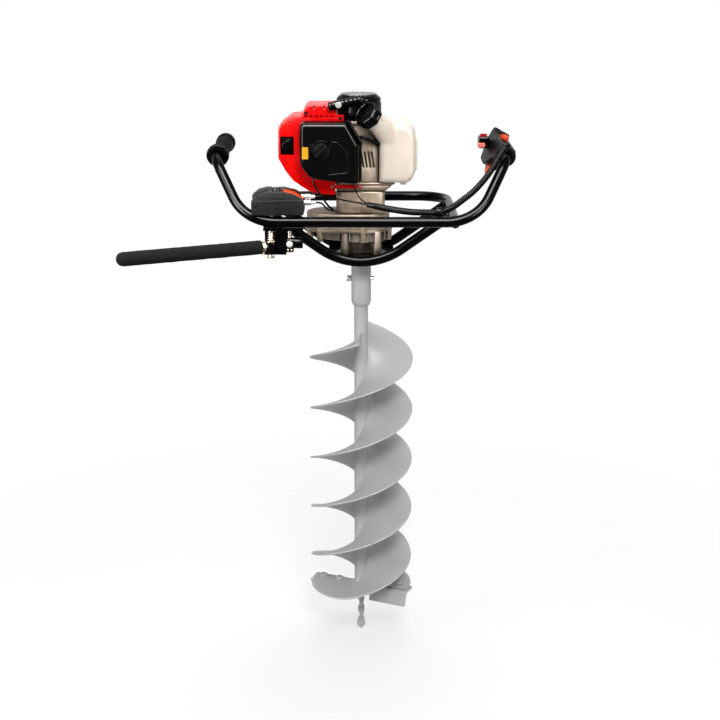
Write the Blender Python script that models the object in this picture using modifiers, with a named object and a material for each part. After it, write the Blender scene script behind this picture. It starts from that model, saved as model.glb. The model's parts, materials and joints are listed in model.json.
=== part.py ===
"""Two-hand petrol earth auger: tube frame, engine, reduction gearbox and a double-start drilling bit.

Metres, +Z up. The origin is on the drilling axis, level with the middle of the two hand grips.
X runs to the operator's throttle hand, and the operator stands on the -Y side.
"""

import math

import bmesh
import bpy
from mathutils import Matrix, Vector

# Clearances
SEAT_GAP = 0.0003
RUN_GAP = 0.0005

# Frame tubes
TUBE_D = 0.019
FRAME_Z = -0.107
FRAME_HALF_DEPTH = 0.157
FRONT_HALF_WIDTH = 0.207
FRONT_BEND = 0.085
HAND_BEND = 0.048
LEG_X = FRONT_HALF_WIDTH - 0.039
REAR_BEND = 0.060
CRADLE_Y = 0.067
CRADLE_SLOPE = math.radians(35)
CRADLE_BEND = 0.130
PLATE_SIZE_X = 0.124
PLATE_THICK = 0.005
PLATE_RISE = 0.004
PLATE_HOLE_R = 0.030

# Hand grips, mirrored left and right
GRIP_X = 0.2595
GRIP_LENGTH = 0.120
GRIP_TOE = math.radians(3)
GRIP_RISE = math.radians(6)
GRIP_Z = 0.005
GRIP_LEAD = 0.025
GRIP_R = 0.0158
GRIP_FLANGE_R = 0.0208
HANDLE_ROLL = math.radians(60)

# Heights of the drive, from the cutters up to the starter
PLATE_TOP_GAP = 0.018
GEARBOX_LOWER_H = 0.025
GEARBOX_UPPER_H = 0.0285
CLUTCH_HOUSING_H = 0.0415
SKIRT_H = 0.0168
CRANKCASE_H = 0.1122
STARTER_H = 0.0437

# Gear train
GEAR_MODULE = 0.002
PINION_TEETH = 10
WHEEL_TEETH = 44
GEAR_FACE = 0.008
OUTPUT_FACE = 0.012
GEAR_BACKLASH = 0.12
CASING_WALL = 0.0045
OUTPUT_SHAFT_R = 0.010
LAYSHAFT_R = 0.006

# Drilling bit
BIT_R = 0.100
BIT_LEAD = 0.2034
BIT_TURNS = 2.54
FLIGHT_THICK = 0.0035
FLIGHT_TOP_Z = -0.3465
BIT_TUBE_R = 0.0133
SLEEVE_R = 0.0188
SLEEVE_LENGTH = 0.098
SLEEVE_DEPTH_BELOW_PLATE = 0.004
PIN_DROP = 0.045
PILOT_LENGTH = 0.100
PILOT_R = 0.0068
BLADE_THICK = 0.005
BLADE_DROP = 0.029

# Engine. Its heights are counted from a datum this far above the crankcase's floor
ENGINE_DATUM = 0.05213417
CRANKCASE_X = (-0.042, 0.0325)
CRANKCASE_HALF_Y = 0.044
CRANK_R = 0.007
CYLINDER_Z = 0.014
CYLINDER_R = 0.027
CYLINDER_LENGTH = 0.070
FIN_SIZE = 0.080
FIN_COUNT = 6
SHROUD_FRONT_Y = -0.058
SHROUD_BACK_Y = 0.058
SHROUD_WALL = 0.0025
STARTER_X = -0.0046
STARTER_R = 0.0412
FILTER_BACK_Y = -0.078
FILTER_DEPTH = 0.034
FILTER_WALL = 0.0025
KNOB_R = 0.015
TANK_HALF_Y = 0.060
TANK_WALL = 0.0025
CAP_R = 0.024
CAP_H = 0.020
NECK_R = 0.018
NECK_ROOT_R = 0.026

# Release lever and cable box at the left of the frame
LEVER_PIVOT = Vector((-0.1614, -0.157, 0.0))
LEVER_Z = -0.1506
LEVER_ANGLE = math.radians(26)
LEVER_FOAM_LENGTH = 0.268
LEVER_FOAM_R = 0.0134
LEVER_TUBE_R = 0.007
CONDUIT_R = 0.0060
CONDUIT_BORE_R = 0.0042
CABLE_R = 0.0016

# Heights that follow from the sizes above
TUBE_R = TUBE_D / 2
GEAR_CENTRES = GEAR_MODULE * (PINION_TEETH + WHEEL_TEETH) / 2
CRADLE_Z = FRAME_Z - LEG_X * math.tan(CRADLE_SLOPE) + CRADLE_BEND * (1 / math.cos(CRADLE_SLOPE) - 1)
PLATE_Z = CRADLE_Z + PLATE_RISE + PLATE_THICK
GEARBOX_Z = PLATE_Z + PLATE_TOP_GAP + PLATE_THICK
SPLIT_Z = GEARBOX_Z + GEARBOX_LOWER_H
DECK_Z = SPLIT_Z + GEARBOX_UPPER_H
NECK_Z = DECK_Z + CLUTCH_HOUSING_H
CASE_Z = NECK_Z + SKIRT_H
CASE_TOP_Z = CASE_Z + CRANKCASE_H
ENGINE_LIFT = CASE_Z + ENGINE_DATUM
SLEEVE_TOP_Z = PLATE_Z - PLATE_THICK - SLEEVE_DEPTH_BELOW_PLATE
SLEEVE_LOW_Z = SLEEVE_TOP_Z - SLEEVE_LENGTH
PIN_Z = SLEEVE_TOP_Z - PIN_DROP
SHAFT_END_Z = PIN_Z - 0.017
BLADE_Z = FLIGHT_TOP_Z - BIT_LEAD * BIT_TURNS
TIP_Z = BLADE_Z - 0.005 - PILOT_LENGTH

parts = bpy.data.collections.new("earth_auger")
tools = bpy.data.collections.new("cutters")


def start_scene():
    """An empty scene with one collection for the auger's parts and one for the shapes that make them."""
    for old in list(bpy.data.objects):
        bpy.data.objects.remove(old, do_unlink=True)
    bpy.context.scene.collection.children.link(parts)
    bpy.context.scene.collection.children.link(tools)


def finish_material(name, colour, roughness, metallic=0.0):
    """A Principled material of one colour."""
    made = bpy.data.materials.new(name)
    made.use_nodes = True
    shader = made.node_tree.nodes["Principled BSDF"]
    shader.inputs["Base Color"].default_value = (*colour, 1.0)
    shader.inputs["Roughness"].default_value = roughness
    shader.inputs["Metallic"].default_value = metallic
    return made


BLACK_PAINT = finish_material("black_paint", (0.012, 0.012, 0.012), 0.18)
GREY_PAINT = finish_material("grey_paint", (0.44, 0.44, 0.45), 0.35, 0.2)
CAST_ALLOY = finish_material("cast_alloy", (0.40, 0.35, 0.29), 0.45, 0.8)
STEEL = finish_material("zinc_steel", (0.62, 0.60, 0.56), 0.3, 1.0)
RED_PLASTIC = finish_material("red_plastic", (0.85, 0.005, 0.005), 0.3)
BLACK_GLOSS = finish_material("black_gloss", (0.008, 0.008, 0.009), 0.1)
BLACK_MATTE = finish_material("black_matte", (0.022, 0.022, 0.023), 0.6)
RUBBER = finish_material("rubber", (0.015, 0.015, 0.016), 0.75)
FOAM = finish_material("foam", (0.018, 0.018, 0.018), 0.95)
TANK_PLASTIC = finish_material("tank_plastic", (0.87, 0.79, 0.71), 0.4)
ORANGE_PLASTIC = finish_material("orange_plastic", (0.90, 0.14, 0.01), 0.35)
GREY_PLASTIC = finish_material("grey_plastic", (0.11, 0.10, 0.11), 0.5)


def tool(name, mesh, at=(0, 0, 0), turn=None):
    """A shape that waits to be joined or cut: an object in the cutters collection."""
    made = bpy.data.objects.new(name, mesh)
    made.matrix_world = Matrix.Translation(at) @ (turn.to_4x4() if turn else Matrix())
    made.hide_render = True
    made.display_type = "WIRE"
    tools.objects.link(made)
    return made


def evaluated_mesh(thing):
    """The mesh that an object shows, modifiers included, in world coordinates and welded."""
    bpy.context.view_layer.update()
    graph = bpy.context.evaluated_depsgraph_get()
    mesh = bpy.data.meshes.new_from_object(thing.evaluated_get(graph))
    mesh.transform(thing.matrix_world)
    work = bmesh.new()
    work.from_mesh(mesh)
    bmesh.ops.remove_doubles(work, verts=work.verts, dist=1e-6)
    work.to_mesh(mesh)
    work.free()
    return mesh


def along(direction):
    """The turn that takes +Z to a direction."""
    return Vector((0, 0, 1)).rotation_difference(Vector(direction)).to_matrix()


FACING_FRONT = Matrix.Rotation(math.pi / 2, 3, "X")
FACING_SIDE = Matrix.Rotation(math.pi / 2, 3, "Z") @ FACING_FRONT


def add_bevel(thing, width, segments=2, angle=math.radians(40)):
    if width > 0:
        weld = thing.modifiers.new("weld", "WELD")
        weld.merge_threshold = 1e-6
        bevel = thing.modifiers.new("bevel", "BEVEL")
        bevel.width = width
        bevel.segments = segments
        bevel.limit_method = "ANGLE"
        bevel.angle_limit = angle
    return thing


def cylinder(radius, low, high, sides=20, tip=None):
    """An upright-in-its-own-frame cylinder or cone from one point to another."""
    low, high = Vector(low), Vector(high)
    work = bmesh.new()
    bmesh.ops.create_cone(
        work,
        cap_ends=True,
        segments=sides,
        radius1=radius,
        radius2=radius if tip is None else tip,
        depth=(high - low).length,
    )
    mesh = bpy.data.meshes.new("cylinder")
    work.to_mesh(mesh)
    work.free()
    return tool("cylinder", mesh, (low + high) / 2, along(high - low))


def block(low, high, rounding=0.0, segments=2, turn=None):
    """A box between two corners. Its edges are rounded if asked."""
    low, high = Vector(low), Vector(high)
    work = bmesh.new()
    bmesh.ops.create_cube(work, size=1.0)
    bmesh.ops.scale(work, vec=high - low, verts=work.verts)
    mesh = bpy.data.meshes.new("block")
    work.to_mesh(mesh)
    work.free()
    return add_bevel(tool("block", mesh, (low + high) / 2, turn), rounding, segments)


def signed_area(points):
    pairs = zip(points, points[1:] + points[:1])
    return sum(a[0] * b[1] - b[0] * a[1] for a, b in pairs) / 2


def turned(profile, at=(0, 0, 0), direction=(0, 0, 1), sides=24):
    """A profile of (radius, height) points turned about an axis by a Screw modifier."""
    profile = list(profile)
    if signed_area(profile) > 0:
        profile.reverse()
    on_axis = [abs(r) < 1e-9 for r, z in profile]
    if on_axis[0] != on_axis[-1] or (on_axis[0] and on_axis[-1]):
        closed = False
    else:
        closed = True
    if not closed:
        while abs(profile[0][0]) > 1e-9 or abs(profile[-1][0]) > 1e-9:
            profile = profile[1:] + profile[:1]
    mesh = bpy.data.meshes.new("turned")
    count = len(profile)
    edges = [(i, i + 1) for i in range(count - 1)] + ([(count - 1, 0)] if closed else [])
    mesh.from_pydata([(r, 0, z) for r, z in profile], edges, [])
    made = tool("turned", mesh, at, along(direction))
    screw = made.modifiers.new("screw", "SCREW")
    screw.steps = screw.render_steps = sides
    screw.use_merge_vertices = True
    screw.merge_threshold = 1e-6
    return made


def rounded(corners, radius, steps=2):
    """A closed outline whose corners become arcs of a radius, or of one radius each."""
    radii = radius if isinstance(radius, (list, tuple)) else [radius] * len(corners)
    outline = []
    for i, corner in enumerate(corners):
        here = Vector(corner)
        back = (Vector(corners[i - 1]) - here).normalized()
        ahead = (Vector(corners[(i + 1) % len(corners)]) - here).normalized()
        half = math.acos(max(-1.0, min(1.0, back.dot(ahead)))) / 2
        if radii[i] <= 0 or half > math.radians(88):
            outline.append(tuple(here))
            continue
        reach = radii[i] / math.tan(half)
        centre = here + (back + ahead).normalized() * radii[i] / math.sin(half)
        first = here + back * reach - centre
        last = here + ahead * reach - centre
        swing = first.angle_signed(last)
        for k in range(steps + 1):
            arm = Matrix.Rotation(-swing * k / steps, 2) @ first
            outline.append(tuple(centre + arm))
    return outline


def inset(outline, depth):
    """The outline moved inwards by a wall's thickness."""
    turn = 1 if signed_area(outline) > 0 else -1
    inner = []
    for i, corner in enumerate(outline):
        here = Vector(corner)
        back = (here - Vector(outline[i - 1])).normalized()
        ahead = (Vector(outline[(i + 1) % len(outline)]) - here).normalized()
        n_back = Vector((-back.y, back.x)) * turn
        n_ahead = Vector((-ahead.y, ahead.x)) * turn
        middle = (n_back + n_ahead).normalized()
        inner.append(tuple(here + middle * depth / max(0.4, middle.dot(n_back))))
    return inner


def circle(radius, sides=24, centre=(0.0, 0.0), phase=0.0):
    return [
        (
            centre[0] + radius * math.cos(phase + 2 * math.pi * k / sides),
            centre[1] + radius * math.sin(phase + 2 * math.pi * k / sides),
        )
        for k in range(sides)
    ]


def extrusion(outline, low, high, facing=None, holes=(), rounding=0.0, segments=2):
    """A flat outline with a thickness. It lies in XY and rises from low to high, or is turned first:
    FACING_FRONT puts it in XZ, with low and high along +Y, and FACING_SIDE in YZ, with them along +X."""
    curve = bpy.data.curves.new("outline", "CURVE")
    curve.dimensions = "2D"
    curve.fill_mode = "BOTH"
    curve.extrude = (high - low) / 2
    for ring in (outline, *holes):
        spline = curve.splines.new("POLY")
        spline.points.add(len(ring) - 1)
        for point, (x, y) in zip(spline.points, ring):
            point.co = (x, y, 0, 1)
        spline.use_cyclic_u = True
    middle = (low + high) / 2
    turn = facing or Matrix.Identity(3)
    side = -1 if facing is FACING_FRONT else 1
    made = tool("outline", curve, turn @ Vector((0, 0, side * middle)), turn)
    mesh = evaluated_mesh(made)
    bpy.data.objects.remove(made)
    return add_bevel(tool("extrusion", mesh), rounding, segments)


def bent(corners, radius):
    """A route through corners, each rounded by a bend radius as a tube bender leaves it."""
    corners = [Vector(c) for c in corners]
    radii = radius if isinstance(radius, (list, tuple)) else [radius] * (len(corners) - 2)
    route = [corners[0]]
    for back, here, ahead, bend in zip(corners, corners[1:], corners[2:], radii):
        to_back, to_ahead = (back - here).normalized(), (ahead - here).normalized()
        turn = math.pi - to_back.angle(to_ahead)
        centre = here + (to_back + to_ahead).normalized() * bend / math.cos(turn / 2)
        first = here + to_back * bend * math.tan(turn / 2) - centre
        axis = to_back.cross(to_ahead).normalized()
        steps = max(2, math.ceil(turn / math.radians(14)))
        for k in range(steps + 1):
            route.append(centre + Matrix.Rotation(-turn * k / steps, 3, axis) @ first)
    return route + [corners[-1]]


def smooth(points, steps):
    """Points read from a Catmull-Rom curve through the given ones, a number of steps to each span."""
    points = [Vector(p) for p in points]
    ends = [2 * points[0] - points[1]] + points + [2 * points[-1] - points[-2]]
    route = []
    for a, b, c, d in zip(ends, ends[1:], ends[2:], ends[3:]):
        for k in range(steps):
            t = k / steps
            route.append(
                0.5 * (2 * b + (c - a) * t + (2 * a - 5 * b + 4 * c - d) * t**2
                       + (3 * b - a - 3 * c + d) * t**3)
            )
    return route + [points[-1]]


def tube(route, radius, sides=12, radii=None):
    """A round bar along a route, as a curve with a bevel and filled caps, made a mesh."""
    curve = bpy.data.curves.new("tube", "CURVE")
    curve.dimensions = "3D"
    curve.bevel_depth = radius
    curve.bevel_resolution = (sides - 4) // 2
    curve.use_fill_caps = True
    spline = curve.splines.new("POLY")
    spline.points.add(len(route) - 1)
    for k, (point, place) in enumerate(zip(spline.points, route)):
        point.co = (*place, 1)
        point.radius = radii[k] if radii else 1.0
    made = tool("tube", curve)
    mesh = evaluated_mesh(made)
    bpy.data.objects.remove(made)
    return tool("tube", mesh)


def part(name, base, material, joined=(), cuts=(), lift=0.0):
    """A named piece: the base with other shapes joined to it and then cut from it, raised by a lift."""
    steps = [(other, "UNION") for other in joined] + [(other, "DIFFERENCE") for other in cuts]
    for other, operation in steps:
        boolean = base.modifiers.new(operation.lower(), "BOOLEAN")
        boolean.operation = operation
        boolean.solver = "EXACT"
        boolean.object = other
    mesh = evaluated_mesh(base)
    mesh.transform(Matrix.Translation((0, 0, lift)))
    mesh.name = name
    mesh.materials.clear()
    mesh.materials.append(material)
    mesh.shade_smooth()
    mesh.set_sharp_from_angle(angle=math.radians(35))
    made = bpy.data.objects.new(name, mesh)
    parts.objects.link(made)
    for used in [base, *joined, *cuts]:
        if used.name in bpy.data.objects:
            bpy.data.objects.remove(used)
    return made


def carry(name, at, pieces, axis=(0, 0, 1)):
    """An empty on a joint's axis that carries the pieces which move about or along it."""
    empty = bpy.data.objects.new(name, None)
    empty.empty_display_size = 0.03
    empty.matrix_world = Matrix.Translation(at) @ along(axis).to_4x4()
    parts.objects.link(empty)
    bpy.context.view_layer.update()
    for piece in pieces:
        piece.parent = empty
        piece.matrix_parent_inverse = empty.matrix_world.inverted()
    return empty


start_scene()

# Frame
FRONT_Y = -FRAME_HALF_DEPTH


def grip_direction(side):
    """Unit vector along a grip, from the operator's end to the far end."""
    level = math.cos(GRIP_RISE)
    return Vector((-side * math.sin(GRIP_TOE) * level, math.cos(GRIP_TOE) * level, math.sin(GRIP_RISE)))


def grip_point(side, distance):
    """A point of a grip's axis, at a distance from its operator end."""
    return Vector((side * GRIP_X, 0, GRIP_Z)) + grip_direction(side) * (distance - GRIP_LENGTH / 2)


def handlebar_route():
    """Up from both ends of the front run and back into the two grips."""
    corners = [grip_point(-1, GRIP_LENGTH - 2 * PLATE_THICK), grip_point(-1, -GRIP_LEAD)]
    corners += [Vector((side * FRONT_HALF_WIDTH, FRONT_Y, FRAME_Z)) for side in (-1, 1)]
    corners += [grip_point(1, -GRIP_LEAD), grip_point(1, GRIP_LENGTH - 2 * PLATE_THICK)]
    return bent(corners, [HAND_BEND, FRONT_BEND, FRONT_BEND, HAND_BEND])


def front_tube_cutter():
    """The handlebar with its weld gap: it copes what is welded to it."""
    return tube(handlebar_route(), TUBE_R + SEAT_GAP, 12)


def make_rear_loop():
    """The rear run, whose two side legs come forward to the front tube."""
    corners = [
        (-LEG_X, FRONT_Y, FRAME_Z),
        (-LEG_X, FRAME_HALF_DEPTH, FRAME_Z),
        (LEG_X, FRAME_HALF_DEPTH, FRAME_Z),
        (LEG_X, FRONT_Y, FRAME_Z),
    ]
    return part("rear_frame_tube", tube(bent(corners, REAR_BEND), TUBE_R), BLACK_PAINT,
        cuts=[front_tube_cutter()])


def make_cradle(name, y):
    """A V-shaped tube that hangs from the two side legs and carries the gearbox."""
    apex_z = FRAME_Z - LEG_X * math.tan(CRADLE_SLOPE)
    corners = [(-LEG_X, y, FRAME_Z), (0, y, apex_z), (LEG_X, y, FRAME_Z)]
    legs = [
        cylinder(TUBE_R + SEAT_GAP, (x, y - 2 * TUBE_D, FRAME_Z), (x, y + 2 * TUBE_D, FRAME_Z), 28)
        for x in (-LEG_X, LEG_X)
    ]
    return part(name, tube(bent(corners, CRADLE_BEND), TUBE_R, 10), BLACK_PAINT, cuts=legs)


BOSS_PLACES = [(x, y) for x in (-0.030, 0.030) for y in (-0.046, 0.046)]
BOSS_R = 0.0075
BOLT_R = 0.003


def make_mounting_plate():
    """The flange plate between the two cradle tubes, under the gearbox."""
    half_x = PLATE_SIZE_X / 2
    half_y = CRADLE_Y - TUBE_R - SEAT_GAP
    corners = [(-half_x, -half_y), (half_x, -half_y), (half_x, half_y), (-half_x, half_y)]
    holes = [circle(PLATE_HOLE_R, 20)]
    holes += [circle(BOLT_R + SEAT_GAP, 8, place) for place in BOSS_PLACES]
    return part(
        "mounting_plate",
        extrusion(rounded(corners, 0.014, 4), PLATE_Z - PLATE_THICK, PLATE_Z, holes=holes),
        BLACK_PAINT,
    )


def make_left_grip():
    """A moulded rubber grip with a flange at the operator's end and a closed far end."""
    length, bore = GRIP_LENGTH, TUBE_R + SEAT_GAP
    far = length - 0.016
    profile = [
        (bore, 0),
        (GRIP_FLANGE_R - 0.002, 0),
        (GRIP_FLANGE_R, 0.002),
        (GRIP_FLANGE_R, 0.010),
        (GRIP_FLANGE_R - 0.003, 0.013),
        (GRIP_R, 0.018),
        (GRIP_R, far - 0.004),
        (GRIP_R + 0.0025, far),
        (GRIP_R + 0.0025, length - 0.005),
        (GRIP_R, length - 0.001),
        (GRIP_R - 0.004, length),
        (0, length),
        (0, length - 2 * PLATE_THICK + SEAT_GAP),
        (bore, length - 2 * PLATE_THICK + SEAT_GAP),
    ]
    return part("left_grip", turned(profile, grip_point(-1, 0), grip_direction(-1), 20), RUBBER)


part("handlebar_tube", tube(handlebar_route(), TUBE_R, 12), BLACK_PAINT)
make_rear_loop()
make_cradle("front_cradle_tube", -CRADLE_Y)
make_cradle("rear_cradle_tube", CRADLE_Y)
make_mounting_plate()
make_left_grip()


# Gearbox and clutch
LAYSHAFT = (-GEAR_CENTRES, 0.0)
WHEEL_R = GEAR_MODULE * (WHEEL_TEETH / 2 + 0.9)
PINION_R = GEAR_MODULE * (PINION_TEETH / 2 + 0.9)
CASE_R = WHEEL_R + 0.002 + CASING_WALL
NECK_SIZE = 0.0906
NECK_X = -0.0012
DRUM_R = 0.037
BEARING_R = 0.021
STEM_R = 0.0075
RUN_FIT = 0.00008


def hull(*rounds, sides=24):
    """The outline of a belt drawn round several circles, each a centre and a radius."""
    spots = {(round(x, 6), round(y, 6)) for centre, radius in rounds for x, y in circle(radius, sides,
        centre)}
    points = sorted(spots)

    def chain(ordered):
        kept = []
        for x, y in ordered:
            while len(kept) > 1:
                (ax, ay), (bx, by) = kept[-2:]
                if (bx - ax) * (y - ay) - (by - ay) * (x - ax) > 1e-8:
                    break
                kept.pop()
            kept.append((x, y))
        return kept[:-1]

    return chain(points) + chain(points[::-1])


def gear_outline(teeth, phase, points=1):
    """Involute teeth with a stub tip. A tooth is centred on the phase angle."""
    pitch_r = GEAR_MODULE * teeth / 2
    base_r = pitch_r * math.cos(math.radians(20))
    root_r, tip_r = pitch_r - 1.25 * GEAR_MODULE, pitch_r + 0.9 * GEAR_MODULE
    start_r = max(root_r, base_r)
    radii = [root_r] + [start_r + (tip_r - start_r) * k / points for k in range(points + 1)]
    if root_r > base_r:
        radii = radii[1:]

    def half_width(radius):
        tilt = math.acos(min(1.0, base_r / radius))
        lead = math.tan(math.radians(20)) - math.radians(20)
        return math.pi / (2 * teeth) - GEAR_BACKLASH / (1000 * 2 * pitch_r) + lead - (math.tan(tilt) - tilt)

    outline = []
    for k in range(teeth):
        middle = phase + 2 * math.pi * k / teeth
        flank = [(radius, half_width(radius)) for radius in radii]
        for radius, half in flank:
            outline.append((radius * math.cos(middle - half), radius * math.sin(middle - half)))
        for radius, half in reversed(flank):
            outline.append((radius * math.cos(middle + half), radius * math.sin(middle + half)))
    return outline


def make_lower_casing():
    """The lower half: a narrow body under a wide flange, with four feet and a bearing boss below."""
    body = hull(((0, 0), CASE_R), (LAYSHAFT, PINION_R + 0.002 + CASING_WALL))
    inside = hull(((0, 0), WHEEL_R + 0.002), (LAYSHAFT, PINION_R + 0.002))
    flange = hull(((0, 0), CASE_R + 0.006), (LAYSHAFT, CASE_R))
    split = SPLIT_Z - SEAT_GAP / 2
    joined = [
        extrusion(flange, split - 0.006, split),
        cylinder(BEARING_R + 0.005, (0, 0, PLATE_Z - PLATE_THICK + 0.001), (0, 0, GEARBOX_Z + 0.002), 28),
    ]
    for x, y in BOSS_PLACES:
        joined.append(cylinder(BOSS_R, (x, y, PLATE_Z + SEAT_GAP), (x, y, split - 0.003), 14))
    for angle in range(200, 345, 24):
        rib = block((CASE_R - 0.003, -0.0014, GEARBOX_Z + 0.003), (CASE_R + 0.0055, 0.0014, split - 0.003))
        rib.matrix_world = Matrix.Rotation(math.radians(angle), 4, "Z") @ rib.matrix_world
        joined.append(rib)
    cuts = [
        extrusion(inside, GEARBOX_Z + CASING_WALL, split + 0.01),
        cylinder(BEARING_R + SEAT_GAP, (0, 0, PLATE_Z - 0.02), (0, 0, GEARBOX_Z + 0.0022), 24),
        cylinder(OUTPUT_SHAFT_R + 0.004, (0, 0, GEARBOX_Z - 0.01), (0, 0, GEARBOX_Z + 0.01), 16),
        cylinder(LAYSHAFT_R + RUN_FIT, (*LAYSHAFT, GEARBOX_Z + 0.0015), (*LAYSHAFT, GEARBOX_Z + 0.02), 24),
    ]
    return part(
        "gearbox_lower_casing",
        extrusion(body, GEARBOX_Z, split - 0.002, rounding=0.0015, segments=1),
        CAST_ALLOY,
        joined,
        cuts,
    )


def make_upper_casing():
    """The upper half, whose deck carries the clutch housing and the clutch drum's bearing."""
    split = SPLIT_Z + SEAT_GAP / 2
    flange = hull(((0, 0), CASE_R + 0.006), (LAYSHAFT, CASE_R))
    dome = hull(((0, 0), CASE_R + 0.001), (LAYSHAFT, CASE_R - 0.004))
    inside = hull(((0, 0), PINION_R + 0.010), (LAYSHAFT, WHEEL_R + 0.0015))
    lid = extrusion(dome, split + 0.005, DECK_Z - SEAT_GAP, rounding=0.005, segments=2)
    cuts = [
        extrusion(inside, split - 0.01, SPLIT_Z + 0.0127),
        cylinder(WHEEL_R - 0.013, (*LAYSHAFT, SPLIT_Z), (*LAYSHAFT, DECK_Z - CASING_WALL), 24),
        cylinder(STEM_R + RUN_FIT, (0, 0, SPLIT_Z + 0.0120), (0, 0, DECK_Z + 0.01), 24),
        cylinder(LAYSHAFT_R + RUN_FIT, (*LAYSHAFT, SPLIT_Z), (*LAYSHAFT, DECK_Z - 0.0015), 24),
    ]
    shell = extrusion(flange, split, split + 0.007)
    return part("gearbox_upper_casing", shell, CAST_ALLOY, [lid], cuts)


def make_gear_train():
    """The clutch drum's pinion drives the layshaft's wheel, and the layshaft's pinion the output wheel."""
    wheel_low = SPLIT_Z + 0.003
    stem = turned(
        [
            (0, wheel_low + GEAR_FACE - 0.001),
            (STEM_R, wheel_low + GEAR_FACE - 0.001),
            (STEM_R, DECK_Z + 0.004),
            (DRUM_R, DECK_Z + 0.004),
            (DRUM_R, DECK_Z + 0.030),
            (DRUM_R - 0.003, DECK_Z + 0.030),
            (DRUM_R - 0.003, DECK_Z + 0.007),
            (0, DECK_Z + 0.007),
        ],
        sides=24,
    )
    pinion = extrusion(gear_outline(PINION_TEETH, math.pi), wheel_low, wheel_low + GEAR_FACE)
    drum = part("clutch_drum", stem, STEEL, [pinion])
    tooth = math.pi / WHEEL_TEETH
    wheel = extrusion(gear_outline(WHEEL_TEETH, tooth, 1), wheel_low, wheel_low + GEAR_FACE)
    low = GEARBOX_Z + CASING_WALL + 0.002
    second = extrusion(gear_outline(PINION_TEETH, 0.0), low - 0.0005, wheel_low + 0.001)
    shaft = cylinder(LAYSHAFT_R, (0, 0, GEARBOX_Z + 0.002), (0, 0, DECK_Z - 0.002), 24)
    lay = part("layshaft_gears", wheel, STEEL, [second, shaft])
    lay.location = (*LAYSHAFT, 0)
    output = extrusion(gear_outline(WHEEL_TEETH, tooth, 1), low, low + OUTPUT_FACE)
    shaft = cylinder(OUTPUT_SHAFT_R, (0, 0, SHAFT_END_Z), (0, 0, SPLIT_Z + 0.0015), 28)
    hole = cylinder(0.004 + SEAT_GAP, (-0.03, 0, PIN_Z), (0.03, 0, PIN_Z), 16)
    wheel = part("output_gear_shaft", output, STEEL, [shaft], [hole])
    part(
        "output_bearing",
        extrusion(circle(BEARING_R, 24), PLATE_Z - 0.003, GEARBOX_Z + 0.0018,
            holes=[circle(OUTPUT_SHAFT_R + RUN_FIT, 28)]),
        STEEL,
    )
    carry("clutch_axis", (0, 0, DECK_Z), [drum])
    carry("layshaft_axis", (*LAYSHAFT, SPLIT_Z), [lay])
    return wheel


def make_clutch_housing():
    """A rounded square housing between the gearbox and the engine, with a round bore for the clutch."""
    half = NECK_SIZE / 2
    corners = [(-half, -half), (half, -half), (half, half), (-half, half)]
    square = rounded([(NECK_X + x, y) for x, y in corners], 0.012, 3)
    made = extrusion(square, DECK_Z, NECK_Z - SEAT_GAP, rounding=0.002, segments=1)
    parting = [
        block((-0.0006, -half - 0.01, DECK_Z - 0.01), (0.0006, -half + 0.0008, NECK_Z + 0.01)),
        block((-0.0006, half - 0.0008, DECK_Z - 0.01), (0.0006, half + 0.01, NECK_Z + 0.01)),
    ]
    bore = cylinder(DRUM_R + 0.003, (0, 0, DECK_Z - 0.01), (0, 0, NECK_Z + 0.01), 24)
    return part("clutch_housing", made, CAST_ALLOY, cuts=[*parting, bore])


make_lower_casing()
make_upper_casing()
make_clutch_housing()
output_wheel = make_gear_train()


# Drilling bit


def make_sleeve():
    """The socket that the cross pin holds on the output shaft, with the bit's tube welded into its low end."""
    bore, weld = OUTPUT_SHAFT_R + SEAT_GAP, BIT_TUBE_R + SEAT_GAP
    profile = [
        (bore, SLEEVE_TOP_Z),
        (SLEEVE_R - 0.001, SLEEVE_TOP_Z),
        (SLEEVE_R, SLEEVE_TOP_Z - 0.001),
        (SLEEVE_R, SLEEVE_LOW_Z + 0.005),
        (SLEEVE_R - 0.0015, SLEEVE_LOW_Z + 0.0015),
        (SLEEVE_R - 0.005, SLEEVE_LOW_Z),
        (weld, SLEEVE_LOW_Z),
        (weld, SLEEVE_LOW_Z + 0.027),
        (bore, SLEEVE_LOW_Z + 0.027),
    ]
    hole = cylinder(0.004 + SEAT_GAP, (-0.03, 0, PIN_Z), (0.03, 0, PIN_Z), 16)
    return part("auger_sleeve", turned(profile), GREY_PAINT, cuts=[hole])


def make_cross_pin():
    reach = SLEEVE_R + 0.006
    head = cylinder(0.0065, (-reach - 0.003, 0, PIN_Z), (-SLEEVE_R - 0.0004, 0, PIN_Z), 6)
    return part("cross_pin", cylinder(0.004, (-reach, 0, PIN_Z), (reach, 0, PIN_Z), 16), STEEL, [head])


def make_flight(phase):
    """One helical flight: a radial line turned and lowered by a Screw, thickened by a Solidify."""
    inner, steps = BIT_TUBE_R - 0.002, 22
    mesh = bpy.data.meshes.new("flight")
    mesh.from_pydata([(inner, 0, 0), (BIT_R, 0, 0)], [(0, 1)], [])
    made = tool("flight", mesh, (0, 0, FLIGHT_TOP_Z), Matrix.Rotation(phase, 3, "Z"))
    screw = made.modifiers.new("screw", "SCREW")
    screw.angle = -2 * math.pi * BIT_TURNS
    screw.screw_offset = -BIT_LEAD * BIT_TURNS
    screw.steps = screw.render_steps = round(steps * BIT_TURNS)
    solid = made.modifiers.new("solid", "SOLIDIFY")
    solid.thickness = FLIGHT_THICK
    solid.offset = 0
    return made


BLADE_LEAD = math.radians(155)
BLADE_START = math.radians(266)


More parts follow.
